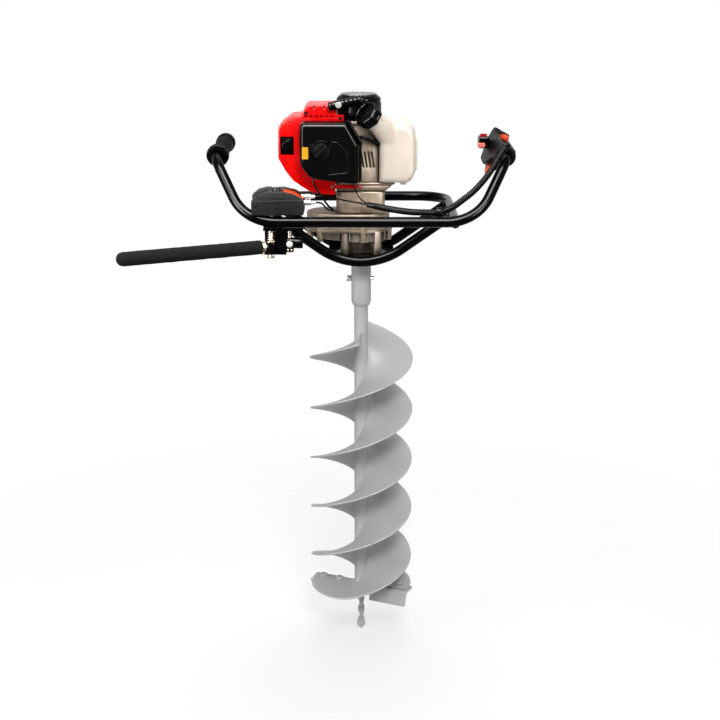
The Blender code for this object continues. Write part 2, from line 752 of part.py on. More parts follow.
def make_bit():
    """The tube and both flights, one weldment. A flat shelf ends each flight and carries a blade."""
    body = cylinder(BIT_TUBE_R, (0, 0, BLADE_Z - 0.007), (0, 0, SLEEVE_LOW_Z + 0.026), 20)
    joined = []
    for phase in (0.0, math.pi):
        joined.append(make_flight(math.pi / 2 + phase))
        low, high = BLADE_LEAD, BLADE_START
        arc = [(low + (high - low) * k / 7 - phase) for k in range(8)]
        rim = [(BIT_R * math.cos(a), BIT_R * math.sin(a)) for a in arc]
        hub = [((BIT_TUBE_R - 0.002) * math.cos(a), (BIT_TUBE_R - 0.002) * math.sin(a)) for a in arc[::-1]]
        joined.append(extrusion(rim + hub, BLADE_Z - 0.004, BLADE_Z + 0.001))
    return part("auger_bit", body, GREY_PAINT, joined)


def make_blade(name, phase):
    """A hardened cutter bolted under a flight's leading edge and bent down to the ground."""
    mid = BLADE_LEAD - phase
    width, near, far = 0.026, 0.024, BIT_R + 0.001
    top = BLADE_Z - 0.004 - SEAT_GAP
    profile = [
        (width, top),
        (-0.0070, top),
        (-0.0145, top - BLADE_DROP),
        (-0.0120, top - BLADE_DROP),
        (-0.0005, top - BLADE_THICK),
        (width, top - BLADE_THICK),
    ]
    made = extrusion(profile, near, far, FACING_SIDE)
    made.matrix_world = Matrix.Rotation(mid, 4, "Z")
    bolts = []
    for out in (0.042, 0.078):
        place = Matrix.Rotation(mid, 3, "Z") @ Vector((out, 0.013, 0))
        bolts.append(cylinder(0.0068, (place.x, place.y, top - 0.010), (place.x, place.y, top - 0.004), 6))
    return part(name, made, STEEL, bolts)


def make_pilot():
    """A flat bar twisted into a screw point, with a fishtail end, in a socket below the tube."""
    top, low = BLADE_Z - 0.007 - SEAT_GAP, TIP_Z + 0.016
    bar = block((-PILOT_R, -0.0025, low), (PILOT_R, 0.0025, top - 0.008))
    rings = bmesh.new()
    rings.from_mesh(bar.data)
    upright = [e for e in rings.edges if abs((e.verts[0].co - e.verts[1].co).z) > 0.01]
    bmesh.ops.subdivide_edges(rings, edges=upright, cuts=20)
    rings.to_mesh(bar.data)
    rings.free()
    twist = bar.modifiers.new("twist", "SIMPLE_DEFORM")
    twist.deform_method, twist.deform_axis = "TWIST", "Z"
    twist.angle = math.radians(500)
    tail = extrusion(
        [(-0.003, 0.002), (0.003, 0.002), (0.0085, -0.006), (0.0055, -0.016), (0, -0.009), (-0.0055, -0.016),
         (-0.0085, -0.006)],
        -0.0022,
        0.0022,
        FACING_FRONT,
    )
    tail.matrix_world = Matrix.Translation((0, 0, low)) @ tail.matrix_world
    return part("pilot_point", cylinder(0.0095, (0, 0, top - 0.010), (0, 0, top), 20), STEEL, [bar, tail])


auger = [
    output_wheel,
    make_sleeve(),
    make_cross_pin(),
    make_bit(),
    make_blade("cutter_blade_left", 0.0),
    make_blade("cutter_blade_right", math.pi),
    make_pilot(),
]
carry("auger_axis", (0, 0, PLATE_Z), auger)


# Engine
BARREL_Z = CYLINDER_Z + ENGINE_LIFT
CASE_LEFT, CASE_RIGHT = CRANKCASE_X
STARTER_Z = CASE_TOP_Z + SEAT_GAP
NECK_AT = Vector((0.0467, -0.0478, 0.0435 + ENGINE_LIFT))
CAP_SEAT = 0.045
NECK_AXIS = Vector((-0.62, -0.55, 0.56)).normalized()
STARTER_TOP_Z = STARTER_Z + STARTER_H


def funnel(low_box, high_box, low, high):
    """A four-sided hopper between two level rectangles, each given as x, y, x, y."""
    work = bmesh.new()
    bmesh.ops.create_cube(work, size=1.0)
    for vert in work.verts:
        x0, y0, x1, y1 = high_box if vert.co.z > 0 else low_box
        vert.co = (x1 if vert.co.x > 0 else x0, y1 if vert.co.y > 0 else y0, high if vert.co.z > 0 else low)
    mesh = bpy.data.meshes.new("funnel")
    work.to_mesh(mesh)
    work.free()
    return add_bevel(tool("funnel", mesh), 0.006, 2)


def make_crankcase():
    """The casting between the clutch housing and the starter, bored through for the crankshaft."""
    plate = CASE_Z - 0.0043
    body = block(
        (CASE_LEFT, -CRANKCASE_HALF_Y, CASE_Z - 0.002), (CASE_RIGHT, CRANKCASE_HALF_Y, CASE_TOP_Z - 0.004),
            0.004
    )
    lid = rounded([(-0.044, -0.047), (0.0327, -0.047), (0.0327, 0.047), (-0.044, 0.047)], 0.010)
    flange = rounded([(-0.048, -0.0475), (0.062, -0.0475), (0.062, 0.0475), (-0.048, 0.0475)], 0.010)
    joined = [
        funnel((NECK_X - 0.0453, -0.0453, NECK_X + 0.0453, 0.0453), (-0.048, -0.0475, 0.060, 0.0475),
            NECK_Z, plate + 0.0005),
        extrusion(flange, plate, CASE_Z, rounding=0.0012, segments=1),
        extrusion(lid, CASE_TOP_Z - 0.006, CASE_TOP_Z),
    ]
    cuts = [
        cylinder(DRUM_R - 0.002, (0, 0, NECK_Z - 0.01), (0, 0, CASE_Z - 0.006), 20),
        cylinder(CRANK_R + RUN_FIT, (0, 0, NECK_Z - 0.01), (0, 0, CASE_TOP_Z + 0.01), 24),
    ]
    for k in range(4):
        x = 0.0015 + 0.0066 * k
        slot = block((-0.0015, -0.06, -0.015), (0.0022, -CRANKCASE_HALF_Y + 0.006, 0.015))
        lean = Matrix.Rotation(math.radians(-9), 4, "Y")
        slot.matrix_world = Matrix.Translation((x, 0, -0.0098 + ENGINE_LIFT)) @ lean @ slot.matrix_world
        cuts.append(slot)
    relief = 0.0018
    cuts.append(cylinder(NECK_ROOT_R + relief, NECK_AT - NECK_AXIS * 0.012, NECK_AT + NECK_AXIS * 0.040,
        14, NECK_R + relief))
    cuts.append(cylinder(CAP_R + 0.0015, NECK_AT + NECK_AXIS * (CAP_SEAT - 0.0010),
        NECK_AT + NECK_AXIS * 0.09, 14))
    return part("crankcase", body, CAST_ALLOY, joined, cuts)


def make_cylinder():
    """The finned barrel and head that point away from the tank."""
    root = CASE_LEFT - SEAT_GAP
    profile = []
    pitch = CYLINDER_LENGTH / FIN_COUNT
    barrel = cylinder(CYLINDER_R, (root, 0, BARREL_Z), (root - CYLINDER_LENGTH, 0, BARREL_Z), 12)
    fins = []
    for k in range(FIN_COUNT):
        x = root - 0.004 - pitch * k
        half = FIN_SIZE / 2
        fins.append(
            block((x - 0.0022, -half, BARREL_Z - half), (x, half, BARREL_Z + half))
        )
    seat = cylinder(0.007 + SEAT_GAP, (root - CYLINDER_LENGTH - 0.01, 0, BARREL_Z),
                    (root - CYLINDER_LENGTH + 0.010, 0, BARREL_Z), 16)
    return part("engine_cylinder", barrel, CAST_ALLOY, fins, [seat])


def make_spark_plug():
    root = CASE_LEFT - SEAT_GAP - CYLINDER_LENGTH
    z = BARREL_Z
    body = cylinder(0.007, (root + 0.009, 0, z), (root - 0.002, 0, z), 16)
    hexagon = cylinder(0.0095, (root - 0.0003, 0, z), (root - 0.008, 0, z), 6)
    post = cylinder(0.0045, (root - 0.006, 0, z), (root - 0.020, 0, z), 12)
    part("spark_plug", body, STEEL, [hexagon, post])
    cap = turned([(0, -0.024), (0.0085, -0.024), (0.0085, -0.007), (0.0045 + SEAT_GAP, -0.007),
                  (0.0045 + SEAT_GAP, -0.0202), (0, -0.0202)], (root - 0.0016, 0, z), (1, 0, 0), 14)
    lead = bent([(root - 0.0160, 0, z + 0.005), (root - 0.0165, 0, z + 0.0438), (CASE_LEFT - 0.020, 0.014,
        z + 0.0438),
                 (CASE_LEFT - 0.0065, 0.034, z + 0.0438)], 0.010)
    arm = block((root - 0.0250, -0.0570, z - 0.0110), (root - 0.0105, 0.0060, z + 0.0185), 0.004, 1)
    part("plug_boot", cap, RUBBER, [arm, tube(lead, 0.0030, 8)], [cylinder(0.0045 + SEAT_GAP,
        (root - 0.0220, 0, z), (root, 0, z), 14)])


def make_shroud():
    """The red cylinder cover, open to the bottom, the right and the rear."""
    w, front = SHROUD_WALL, SHROUD_FRONT_Y
    outer = [(-0.1515, -0.006), (-0.1515, 0.048), (-0.147, 0.0545), (-0.128, 0.0675), (-0.110, 0.069),
             (-0.104, 0.083), (-0.098, 0.0885), (-0.018, 0.0895), (-0.018, 0.0605), (-0.047, 0.0605),
             (-0.047, -0.0736),
             (-0.0755, -0.0718), (-0.096, -0.066), (-0.110, -0.057), (-0.125, -0.0465), (-0.139, -0.0285)]
    inner = [(-0.1515 + w, -0.006), (-0.1515 + w, 0.047), (-0.128, 0.0675 - w), (-0.109, 0.069 - w),
             (-0.102, 0.083), (-0.097, 0.0885 - w), (0.010, 0.0895 - w), (0.010, -0.09), (-0.085, -0.09),
             (-0.095, -0.0635), (-0.109, -0.0545), (-0.1235, -0.0445), (-0.1365, -0.0275)]
    shell = extrusion(outer, front, SHROUD_BACK_Y, FACING_FRONT, rounding=0.0025)
    cuts = [
        extrusion(inner, front + w, SHROUD_BACK_Y + 0.01, FACING_FRONT),
        cylinder(STARTER_R + 0.001 + SEAT_GAP, (STARTER_X, 0, 0.058), (STARTER_X, 0, 0.12), 32),
        block((-0.0315, -0.08, 0.0590), (0.02, -0.040, 0.0730)),
        block((-0.0445, -0.08, 0.0730), (0.02, -0.036, 0.0950)),
        block((-0.1475, -0.08, 0.0008), (-0.1228, -0.050, 0.0338)),
        cylinder(0.0025, (-0.038, -0.09, 0.0675), (-0.038, -0.05, 0.0675), 10),
    ]
    for x in (-0.086, -0.067):
        cuts.append(block((x - 0.0014, -0.062, 0.0835), (x + 0.0014, -0.036, 0.12)))
    for k in range(6):
        x = -0.1005 + 0.0095 * k
        cuts.append(block((x - 0.003, -0.08, 0.0690), (x + 0.003, -0.050, 0.0712)))
    strip = block((-0.060, front, -0.0614), (0.001, front + w, -0.0547), 0.0008, 1)
    return part("engine_shroud", shell, RED_PLASTIC, [strip], cuts, lift=ENGINE_LIFT)


def make_starter():
    """The recoil starter's housing over the flywheel, its top disc and its handle with a sprung rope."""
    r = STARTER_R
    wall = 0.0025
    profile = [(r + 0.001, 0), (r + 0.001, 0.0305), (r, 0.032), (r, STARTER_H - 0.004), (r - 0.006,
        STARTER_H - 0.0006),
               (r - 0.0075, STARTER_H), (0, STARTER_H), (0, STARTER_H - wall), (r - 0.009, STARTER_H - wall),
               (r - wall, STARTER_H - 0.0062), (r - wall, 0)]
    at = (STARTER_X, 0, STARTER_Z)
    grip_z = STARTER_Z + 0.03413417
    nozzle = block((STARTER_X - 0.010, -0.0485, grip_z - 0.009), (STARTER_X + 0.010, -0.032,
        grip_z + 0.0075), 0.003, 1)
    rope = cylinder(0.0019, (STARTER_X, -0.06, grip_z), (STARTER_X, -0.035, grip_z), 12)
    part("starter_housing", turned(profile, at, sides=28), BLACK_GLOSS, [nozzle], [rope])
    disc = [(0, 0.0003), (0.0325, 0.0003), (0.0335, 0.0013), (0.0335, 0.0033), (0.0315, 0.0043), (0.014,
        0.0035),
            (0, 0.0035)]
    part("starter_disc", turned(disc, (STARTER_X, 0, STARTER_TOP_Z), sides=28), STEEL)
    half, d = 0.0315, 0.0078
    ribs = [(0, -half), (d * 0.7, -half), (d, -half + 0.002)]
    for k in range(4):
        z = -half + 0.006 + k * 0.0042
        ribs += [(d, z), (d - 0.0014, z + 0.0013), (d, z + 0.0026)]
    ribs += [(d, half - 0.003), (d * 0.7, half), (0, half)]
    tilt = Vector((math.cos(math.radians(12)), 0, math.sin(math.radians(12))))
    handle = turned(ribs, (-0.0295, -0.0680, grip_z), tilt, 12)
    stem = cylinder(0.0055, (STARTER_X, -0.069, grip_z + 0.004), (STARTER_X, -0.0510, grip_z + 0.001), 12)
    badge = cylinder(0.0068, (-0.037, -0.0775, grip_z - 0.002), (-0.037, -0.067, grip_z - 0.002), 18)
    cord = cylinder(0.0015, (STARTER_X, -0.055, grip_z), (STARTER_X, -0.037, grip_z), 8)
    grip = part("starter_handle", handle, BLACK_MATTE, [stem, badge, cord])
    carry("starter_pull", (STARTER_X, -0.05, grip_z), [grip], (0, -1, 0))


def make_rotating_engine():
    """The crankshaft with its clutch shoes below and its flywheel above."""
    shaft = cylinder(CRANK_R, (0, 0, DECK_Z + 0.010), (0, 0, STARTER_Z + 0.034), 24)
    hub = turned([(CRANK_R + SEAT_GAP, 0), (0.011, 0), (0.011, 0.014), (CRANK_R + SEAT_GAP, 0.014)],
                 (0, 0, DECK_Z + 0.012), sides=16)
    ring = extrusion(circle(0.0325, 16), DECK_Z + 0.013, DECK_Z + 0.025, holes=[circle(0.016, 10)])
    web = block((-0.004, -0.018, DECK_Z + 0.014), (0.004, 0.018, DECK_Z + 0.022))
    slots = [
        block((-0.013, 0.0, DECK_Z), (-0.011, 0.04, DECK_Z + 0.04)),
        block((0.011, -0.04, DECK_Z), (0.013, 0.0, DECK_Z + 0.04)),
    ]
    slots.append(cylinder(CRANK_R + SEAT_GAP, (0, 0, DECK_Z), (0, 0, DECK_Z + 0.04), 16))
    clutch = part("clutch_shoes", hub, STEEL, [ring, web], slots)
    wheel = turned([(CRANK_R - 0.001, 0.004), (0.0320, 0.004), (0.0322, 0.006), (0.0322, 0.022), (0.027,
        0.022),
                    (0.026, 0.012), (0.012, 0.012), (0.012, 0.026), (CRANK_R - 0.001, 0.026)],
                   (0, 0, STARTER_Z), sides=18)
    crank = part("crankshaft_flywheel", shaft, STEEL, [wheel])
    carry("crank_axis", (0, 0, CASE_TOP_Z), [crank, clutch])


make_crankcase()
make_cylinder()
make_spark_plug()
make_shroud()
make_starter()
make_rotating_engine()


# Intake, air filter, exhaust and fuel
COVER = [(-0.1115, 0.0645), (-0.0255, 0.0645), (-0.0030, 0.0245), (-0.0030, -0.0470), (-0.0168, -0.0475),
         (-0.0920, -0.0385), (-0.1115, -0.0120)]
COVER_RADII = [0.007, 0.004, 0.004, 0.004, 0.006, 0.022, 0.020]
KNOB_AT = (-0.071, FILTER_BACK_Y - FILTER_DEPTH, 0.0127)


def make_filter():
    """A base plate on the intake, a foam element and a cover held by a quarter-turn knob."""
    back, depth, wall = FILTER_BACK_Y, FILTER_DEPTH, FILTER_WALL
    outline = rounded(COVER, COVER_RADII, 2)
    base = [COVER[0], (-0.0215, 0.0645), (0.0020, 0.0255), (0.0020, -0.0480)] + COVER[4:]
    base = rounded(inset(base, 0.001), COVER_RADII, 2)
    stud = (KNOB_AT[0], KNOB_AT[2])
    intake = [circle(0.010, 20, (-0.026, -0.005))]
    part("filter_base", extrusion(base, back + SEAT_GAP, back + 0.006, FACING_FRONT,
                                  holes=intake), BLACK_MATTE, lift=ENGINE_LIFT)
    pad = 0.010
    foam = [(COVER[0][0] + pad, COVER[0][1] - pad), (COVER[1][0] - pad * 0.6, COVER[1][1] - pad),
            (COVER[3][0] - pad, COVER[2][1] - pad * 0.3), (COVER[3][0] - pad, COVER[3][1] + pad * 1.2),
            (COVER[5][0] + pad * 0.6, COVER[5][1] + pad * 1.2), (COVER[6][0] + pad, COVER[6][1] + pad * 0.4)]
    part("filter_element", extrusion(rounded(foam, 0.003, 2), back - 0.020, back - SEAT_GAP,
                                     FACING_FRONT, holes=[circle(0.009, 16, stud)]), FOAM, lift=ENGINE_LIFT)
    shell = extrusion(outline, back - depth, back, FACING_FRONT, rounding=0.0045, segments=2)
    cuts = [
        extrusion(inset(outline, wall), back - depth + wall, back + 0.01, FACING_FRONT),
        cylinder(0.005 + SEAT_GAP, (stud[0], back - depth - 0.01, stud[1]), (stud[0], back, stud[1]), 20),
    ]
    ring = cylinder(KNOB_R + 0.003, (stud[0], back - depth + 0.001, stud[1]),
                    (stud[0], back - depth - 0.0012, stud[1]), 24)
    ring_cut = cylinder(KNOB_R + 0.0006, (stud[0], back - depth - 0.0001, stud[1]),
                        (stud[0], back - depth - 0.01, stud[1]), 24)
    part("filter_cover", shell, BLACK_GLOSS, [ring], [*cuts, ring_cut], lift=ENGINE_LIFT)
    face = back - depth - 0.0005
    knob = cylinder(KNOB_R, (stud[0], face, stud[1]), (stud[0], face - 0.004, stud[1]), 24)
    bar = block((-KNOB_R + 0.0012, face - 0.011, -0.0030), (KNOB_R - 0.0012, face - 0.0035, 0.0030), 0.001, 1)
    bar.matrix_world = (Matrix.Translation((stud[0], 0, stud[1])) @ Matrix.Rotation(math.radians(-45), 4, "Y")
                        @ bar.matrix_world)
    shank = cylinder(0.005 - 0.00005, (stud[0], face - 0.001, stud[1]), (stud[0], back - 0.021, stud[1]), 20)
    turn = part("filter_knob", knob, BLACK_MATTE, [bar, shank], lift=ENGINE_LIFT)
    carry("knob_axis", (KNOB_AT[0], KNOB_AT[1], KNOB_AT[2] + ENGINE_LIFT), [turn], (0, 1, 0))


def make_carburettor():
    y = FILTER_BACK_Y + 0.006 + SEAT_GAP
    body = block((-0.040, y, -0.022), (-0.012, -CRANKCASE_HALF_Y - 0.003, 0.012), 0.002, 1)
    bowl = cylinder(0.011, (-0.026, -0.060, -0.036), (-0.026, -0.060, -0.020), 20)
    flange = block((-0.038, -CRANKCASE_HALF_Y - 0.004, -0.016), (-0.014, -CRANKCASE_HALF_Y - SEAT_GAP,
        0.008), 0.001, 1)
    bore = cylinder(0.007, (-0.026, y - 0.01, -0.005), (-0.026, -CRANKCASE_HALF_Y - 0.006, -0.005), 20)
    part("carburettor", body, CAST_ALLOY, [bowl, flange], [bore], lift=ENGINE_LIFT)


def make_muffler():
    z = BARREL_Z - 0.006
    back = FIN_SIZE / 2
    can = block((-0.100, back + 0.004, z - 0.034), (-0.050, back + 0.040, z + 0.036), 0.006)
    neck = cylinder(0.010, (-0.078, back + SEAT_GAP, z + 0.004), (-0.078, back + 0.010, z + 0.004), 20)
    tail = cylinder(0.007, (-0.062, back + 0.038, z - 0.020), (-0.062, back + 0.048, z - 0.026), 16)
    pipe = cylinder(0.0055, (-0.062, back + 0.036, z - 0.019), (-0.062, back + 0.055, z - 0.030), 16)
    part("muffler", can, STEEL, [neck, tail], [pipe])


TANK_FRONT = [(0.0332, -0.050), (0.0332, 0.040), (0.050, 0.062), (0.084, 0.058), (0.0975, 0.047), (0.1005,
    0.028),
              (0.1005, -0.030), (0.096, -0.042), (0.088, -0.0517), (0.040, -0.0517)]
TANK_FRONT = [(x, z + ENGINE_LIFT) for x, z in TANK_FRONT]
HOSE_EXIT = (-0.0505, 0.0205 + ENGINE_LIFT)
TANK_RADII = [0.002, 0.010, 0.012, 0.008, 0.008, 0.010, 0.008, 0.006, 0.006, 0.004]


def make_tank():
    """A blow-moulded fuel tank, hollow, whose filler neck leans to the operator."""
    outline = rounded(TANK_FRONT, TANK_RADII, 1)
    body = extrusion(outline, -TANK_HALF_Y, TANK_HALF_Y, FACING_FRONT, rounding=0.009, segments=2)
    cone = cylinder(NECK_ROOT_R, NECK_AT - NECK_AXIS * 0.010, NECK_AT + NECK_AXIS * 0.040, 24, NECK_R)
    neck = cylinder(NECK_R, NECK_AT + NECK_AXIS * 0.020, NECK_AT + NECK_AXIS * (CAP_SEAT + 0.0155), 24)
    inside = inset(TANK_FRONT, TANK_WALL + 0.001)
    cuts = [
        extrusion(inside, -TANK_HALF_Y + TANK_WALL, TANK_HALF_Y - TANK_WALL, FACING_FRONT),
        cylinder(NECK_R - 0.003, NECK_AT - NECK_AXIS * 0.012, NECK_AT + NECK_AXIS * 0.09, 16),
        cylinder(0.0042, (0.028, *HOSE_EXIT), (0.042, *HOSE_EXIT), 12),
    ]
    joined = [cone, neck, block((0.097, -0.034, ENGINE_LIFT - 0.031), (0.104, 0.034, ENGINE_LIFT + 0.030), 0.003)]
    joined.append(cylinder(0.006, (0.078, -0.030, ENGINE_LIFT - 0.0575), (0.078, -0.030, ENGINE_LIFT - 0.048), 12))
    part("fuel_tank", body, TANK_PLASTIC, joined, cuts)


def make_cap():
    """The screw cap, with eight broad grip facets and a skirt over the neck."""
    rim, top = CAP_R, CAP_H
    outer = []
    for k in range(8):
        a = 2 * math.pi * k / 8
        for d in (-0.30, -0.19, 0.19, 0.30):
            r = rim if abs(d) < 0.25 else rim - 0.0022
            outer.append((r * math.cos(a + d), r * math.sin(a + d)))
    body = extrusion(outer, 0, top, rounding=0.0016, segments=1)
    turn = along(NECK_AXIS)
    seat = NECK_AT + NECK_AXIS * CAP_SEAT
    body.matrix_world = Matrix.Translation(seat) @ turn.to_4x4() @ body.matrix_world
    bore = cylinder(NECK_R + SEAT_GAP, seat - NECK_AXIS * 0.01, seat + NECK_AXIS * (top - 0.0035), 24)
    cap = part("fuel_cap", body, BLACK_MATTE, cuts=[bore])
    carry("cap_axis", seat, [cap], NECK_AXIS)


def make_fuel_hose():
    start = Vector((0.0405, *HOSE_EXIT))
    bends = [(0.0160, -0.0560, 0.0272), (0.0010, -0.0610, 0.0325), (-0.0120, -0.0620, 0.0300),
             (-0.0190, -0.0620, 0.0220), (-0.0200, -0.0620, 0.0135)]
    raised = [(x, y, z + ENGINE_LIFT) for x, y, z in bends]
    route = [start] + smooth([(0.0305, *HOSE_EXIT), *raised], 3)
    part("fuel_hose", tube(route, 0.0034, 8), RUBBER)


make_filter()
make_carburettor()
make_muffler()
make_tank()
make_cap()
make_fuel_hose()


# Right hand: throttle handle
def right_frame():
    """The right grip's own axes: X inwards and down, Y across, Z along the grip to its far end."""
    forward = grip_direction(1)
    inward = Vector((-math.cos(HANDLE_ROLL), 0, -math.sin(HANDLE_ROLL)))
    inward = (inward - forward * inward.dot(forward)).normalized()
    across = forward.cross(inward).normalized()
    turn = Matrix((inward, across, forward)).transposed()
    return Matrix.Translation(grip_point(1, 0)) @ turn.to_4x4()


HAND = right_frame()
HANDLE_HALF = 0.0160
LOCK_Z = 0.100


def in_hand(thing):
    thing.matrix_world = HAND @ thing.matrix_world
    return thing


def handle_outline():
    """The handle seen from the side: X is the trigger side, Y runs along the grip."""
    corners = [(-0.0165, 0.004), (0.013, 0.004), (0.016, 0.016), (0.032, 0.038), (0.040, 0.058), (0.038,
        0.094),
               (0.025, 0.108), (0.016, 0.130), (-0.020, 0.133), (-0.0245, 0.120), (-0.0165, 0.100)]
    return rounded(corners, [0.004, 0.004, 0.02, 0.012, 0.012, 0.010, 0.01, 0.006, 0.006, 0.006, 0.02], 2)


def make_handle():
    """Two shells over the tube's end, with a slot for the trigger and the lock lever."""
    face = Matrix(((1, 0, 0), (0, 0, -1), (0, 1, 0)))
    length = GRIP_LENGTH - 2 * PLATE_THICK
    for name, low, high in (
        ("handle_shell_outer", SEAT_GAP / 2, HANDLE_HALF),
        ("handle_shell_inner", -HANDLE_HALF, -SEAT_GAP / 2),
    ):
        shell = extrusion(handle_outline(), low, high, rounding=0.0055, segments=1)
        shell.matrix_world = HAND @ face.to_4x4() @ shell.matrix_world
        side = 1 if low > 0 else -1
        cuts = [in_hand(cylinder(TUBE_R + SEAT_GAP, (0, 0, -0.02), (0, 0, length + SEAT_GAP), 14)),
                in_hand(block((0.012, -0.0055, 0.030), (0.060, 0.0055, 0.088))),
                in_hand(block((-0.035, -0.0045, LOCK_Z - 0.043), (-0.0105, 0.0045, LOCK_Z + 0.007)))]
        part(name, shell, BLACK_MATTE, cuts=cuts)
    collar = [(0, -0.009), (0.0180, -0.009), (0.0195, -0.006), (0.0195, -0.001), (0.0180, 0.0035), (0,
        0.0035)]
    part("handle_collar", turned(collar, HAND.translation, grip_direction(1), 20), RUBBER,
        cuts=[front_tube_cutter()])


TRIGGER_PIVOT = (0.030, 0.0, 0.080)


def make_trigger():
    """The throttle trigger, pivoted near the far end, and the lock lever on the palm side."""
    face = Matrix(((1, 0, 0), (0, 0, -1), (0, 1, 0))).to_4x4()
    blade = rounded([(0.0215, 0.038), (0.028, 0.032), (0.052, 0.040), (0.050, 0.054), (0.040, 0.078),
        (0.034, 0.0855),
                     (0.025, 0.0845), (0.0215, 0.070)], 0.002, 2)
    shape = extrusion(blade, -0.005, 0.005, rounding=0.0015, segments=1)
    shape.matrix_world = HAND @ face @ shape.matrix_world
    trigger = part("throttle_trigger", shape, ORANGE_PLASTIC)
    carry("trigger_axis", HAND @ Vector(TRIGGER_PIVOT), [trigger], HAND.to_3x3() @ Vector((0, 1, 0)))
    profile = [(-0.0255, -0.039), (-0.0165, -0.037), (-0.0118, 0.003), (-0.0185, 0.0045), (-0.0262, -0.027)]
    bar = rounded([(x, LOCK_Z + z) for x, z in profile], 0.0015, 1)
    shape = extrusion(bar, -0.004, 0.004, rounding=0.001, segments=1)
    shape.matrix_world = HAND @ face @ shape.matrix_world
    lever = part("throttle_lock_lever", shape, ORANGE_PLASTIC)
    carry("lock_axis", HAND @ Vector((-0.015, 0, LOCK_Z)), [lever], HAND.to_3x3() @ Vector((0, 1, 0)))


POD = Vector((0.2300, 0.030, 0.0165))


def make_switch_pod():
    """The small pod inside the handle: a rocker on top and a push button facing the operator."""
    pod = block(POD + Vector((-0.010, -0.016, -0.013)), POD + Vector((0.0108, 0.016, 0.009)), 0.003)
    arm = block(POD + Vector((0.002, -0.008, -0.010)), POD + Vector((0.0300, 0.008, 0.002)))
    pocket = block(POD + Vector((-0.0065, -0.0105, 0.002)), POD + Vector((0.0065, 0.0105, 0.02)))
    well = block(POD + Vector((-0.0120, -0.030, -0.0115)), POD + Vector((0.0025, -0.006, -0.0015)))
    shell_side = in_hand(block((-0.09, -0.09, -0.04), (0.09, HANDLE_HALF + SEAT_GAP, 0.20)))
    part("switch_pod", pod, BLACK_MATTE, [arm], [pocket, well, shell_side])
    rocker = extrusion(rounded([(-0.0098, 0.0052), (0.0098, 0.0052), (0.0098, 0.0128), (0, 0.0103),
        (-0.0098, 0.0150)],
                               0.001, 1), -0.0058, 0.0058, FACING_SIDE)
    rocker.matrix_world = Matrix.Translation(POD) @ rocker.matrix_world
    switch = part("stop_switch", rocker, RED_PLASTIC)
    carry("switch_axis", POD + Vector((0, 0, 0.008)), [switch], (1, 0, 0))
    press = block(POD + Vector((-0.0115, -0.0205, -0.0108)), POD + Vector((0.0018, -0.0085, -0.0022)),
        0.001, 1)
    button = part("lock_button", press, RED_PLASTIC)
    carry("button_axis", POD + Vector((-0.005, -0.0205, -0.0065)), [button], (0, 1, 0))


make_handle()
make_trigger()
make_switch_pod()


# Left side: release lever, cable box and adjusters
LEVER_DIRECTION = Vector((-math.cos(LEVER_ANGLE), -math.sin(LEVER_ANGLE), 0))
PIVOT = Vector((LEVER_PIVOT.x, LEVER_PIVOT.y, LEVER_Z))
BRACKET_TOP_Z = FRAME_Z - TUBE_R - SEAT_GAP
SPRING_R = 0.0062


def make_lever_bracket():
    """A plate bracket welded under the front tube, with a knuckle ear and a clamp sleeve."""
    x, y = LEVER_PIVOT.x, LEVER_PIVOT.y
    plate = block((x - 0.013, y - 0.010, BRACKET_TOP_Z - 0.0040), (x + 0.058, y + 0.010, BRACKET_TOP_Z))
    web = block((x + 0.0115, y - 0.0025, LEVER_Z - 0.002), (x + 0.030, y + 0.0025, BRACKET_TOP_Z - 0.003))
    foot = block((x - 0.011, y - 0.009, LEVER_Z - 0.0135), (x + 0.028, y + 0.009, LEVER_Z - 0.0100))
    rear = block((x + 0.018, y - 0.0025, LEVER_Z - 0.0125), (x + 0.028, y + 0.0025, LEVER_Z + 0.002))
    stub = cylinder(0.010, (x + 0.0285, y, LEVER_Z + 0.0065), (x + 0.057, y, LEVER_Z + 0.0065), 16)
    bolt = cylinder(0.0035, (x + 0.034, y, LEVER_Z - 0.008), (x + 0.034, y, BRACKET_TOP_Z - 0.003), 12)
    nut = cylinder(0.0075, (x + 0.034, y, LEVER_Z - 0.0095), (x + 0.034, y, LEVER_Z - 0.0020), 6)
    hole = cylinder(0.004 + SEAT_GAP, (x, y, LEVER_Z - 0.03), (x, y, BRACKET_TOP_Z + 0.003), 20)
    return part("lever_bracket", plate, BLACK_PAINT, [web, foot, rear, stub, bolt, nut], [hole])


def make_pivot_bolt():
    x, y = LEVER_PIVOT.x, LEVER_PIVOT.y
    low = LEVER_Z - 0.0135 - SEAT_GAP
    shank = cylinder(0.004, (x, y, low - 0.002), (x, y, BRACKET_TOP_Z - 0.0005), 20)
    nut = cylinder(0.0072, (x, y, low - 0.007), (x, y, low), 6)
    return part("pivot_bolt", shank, STEEL, [nut])


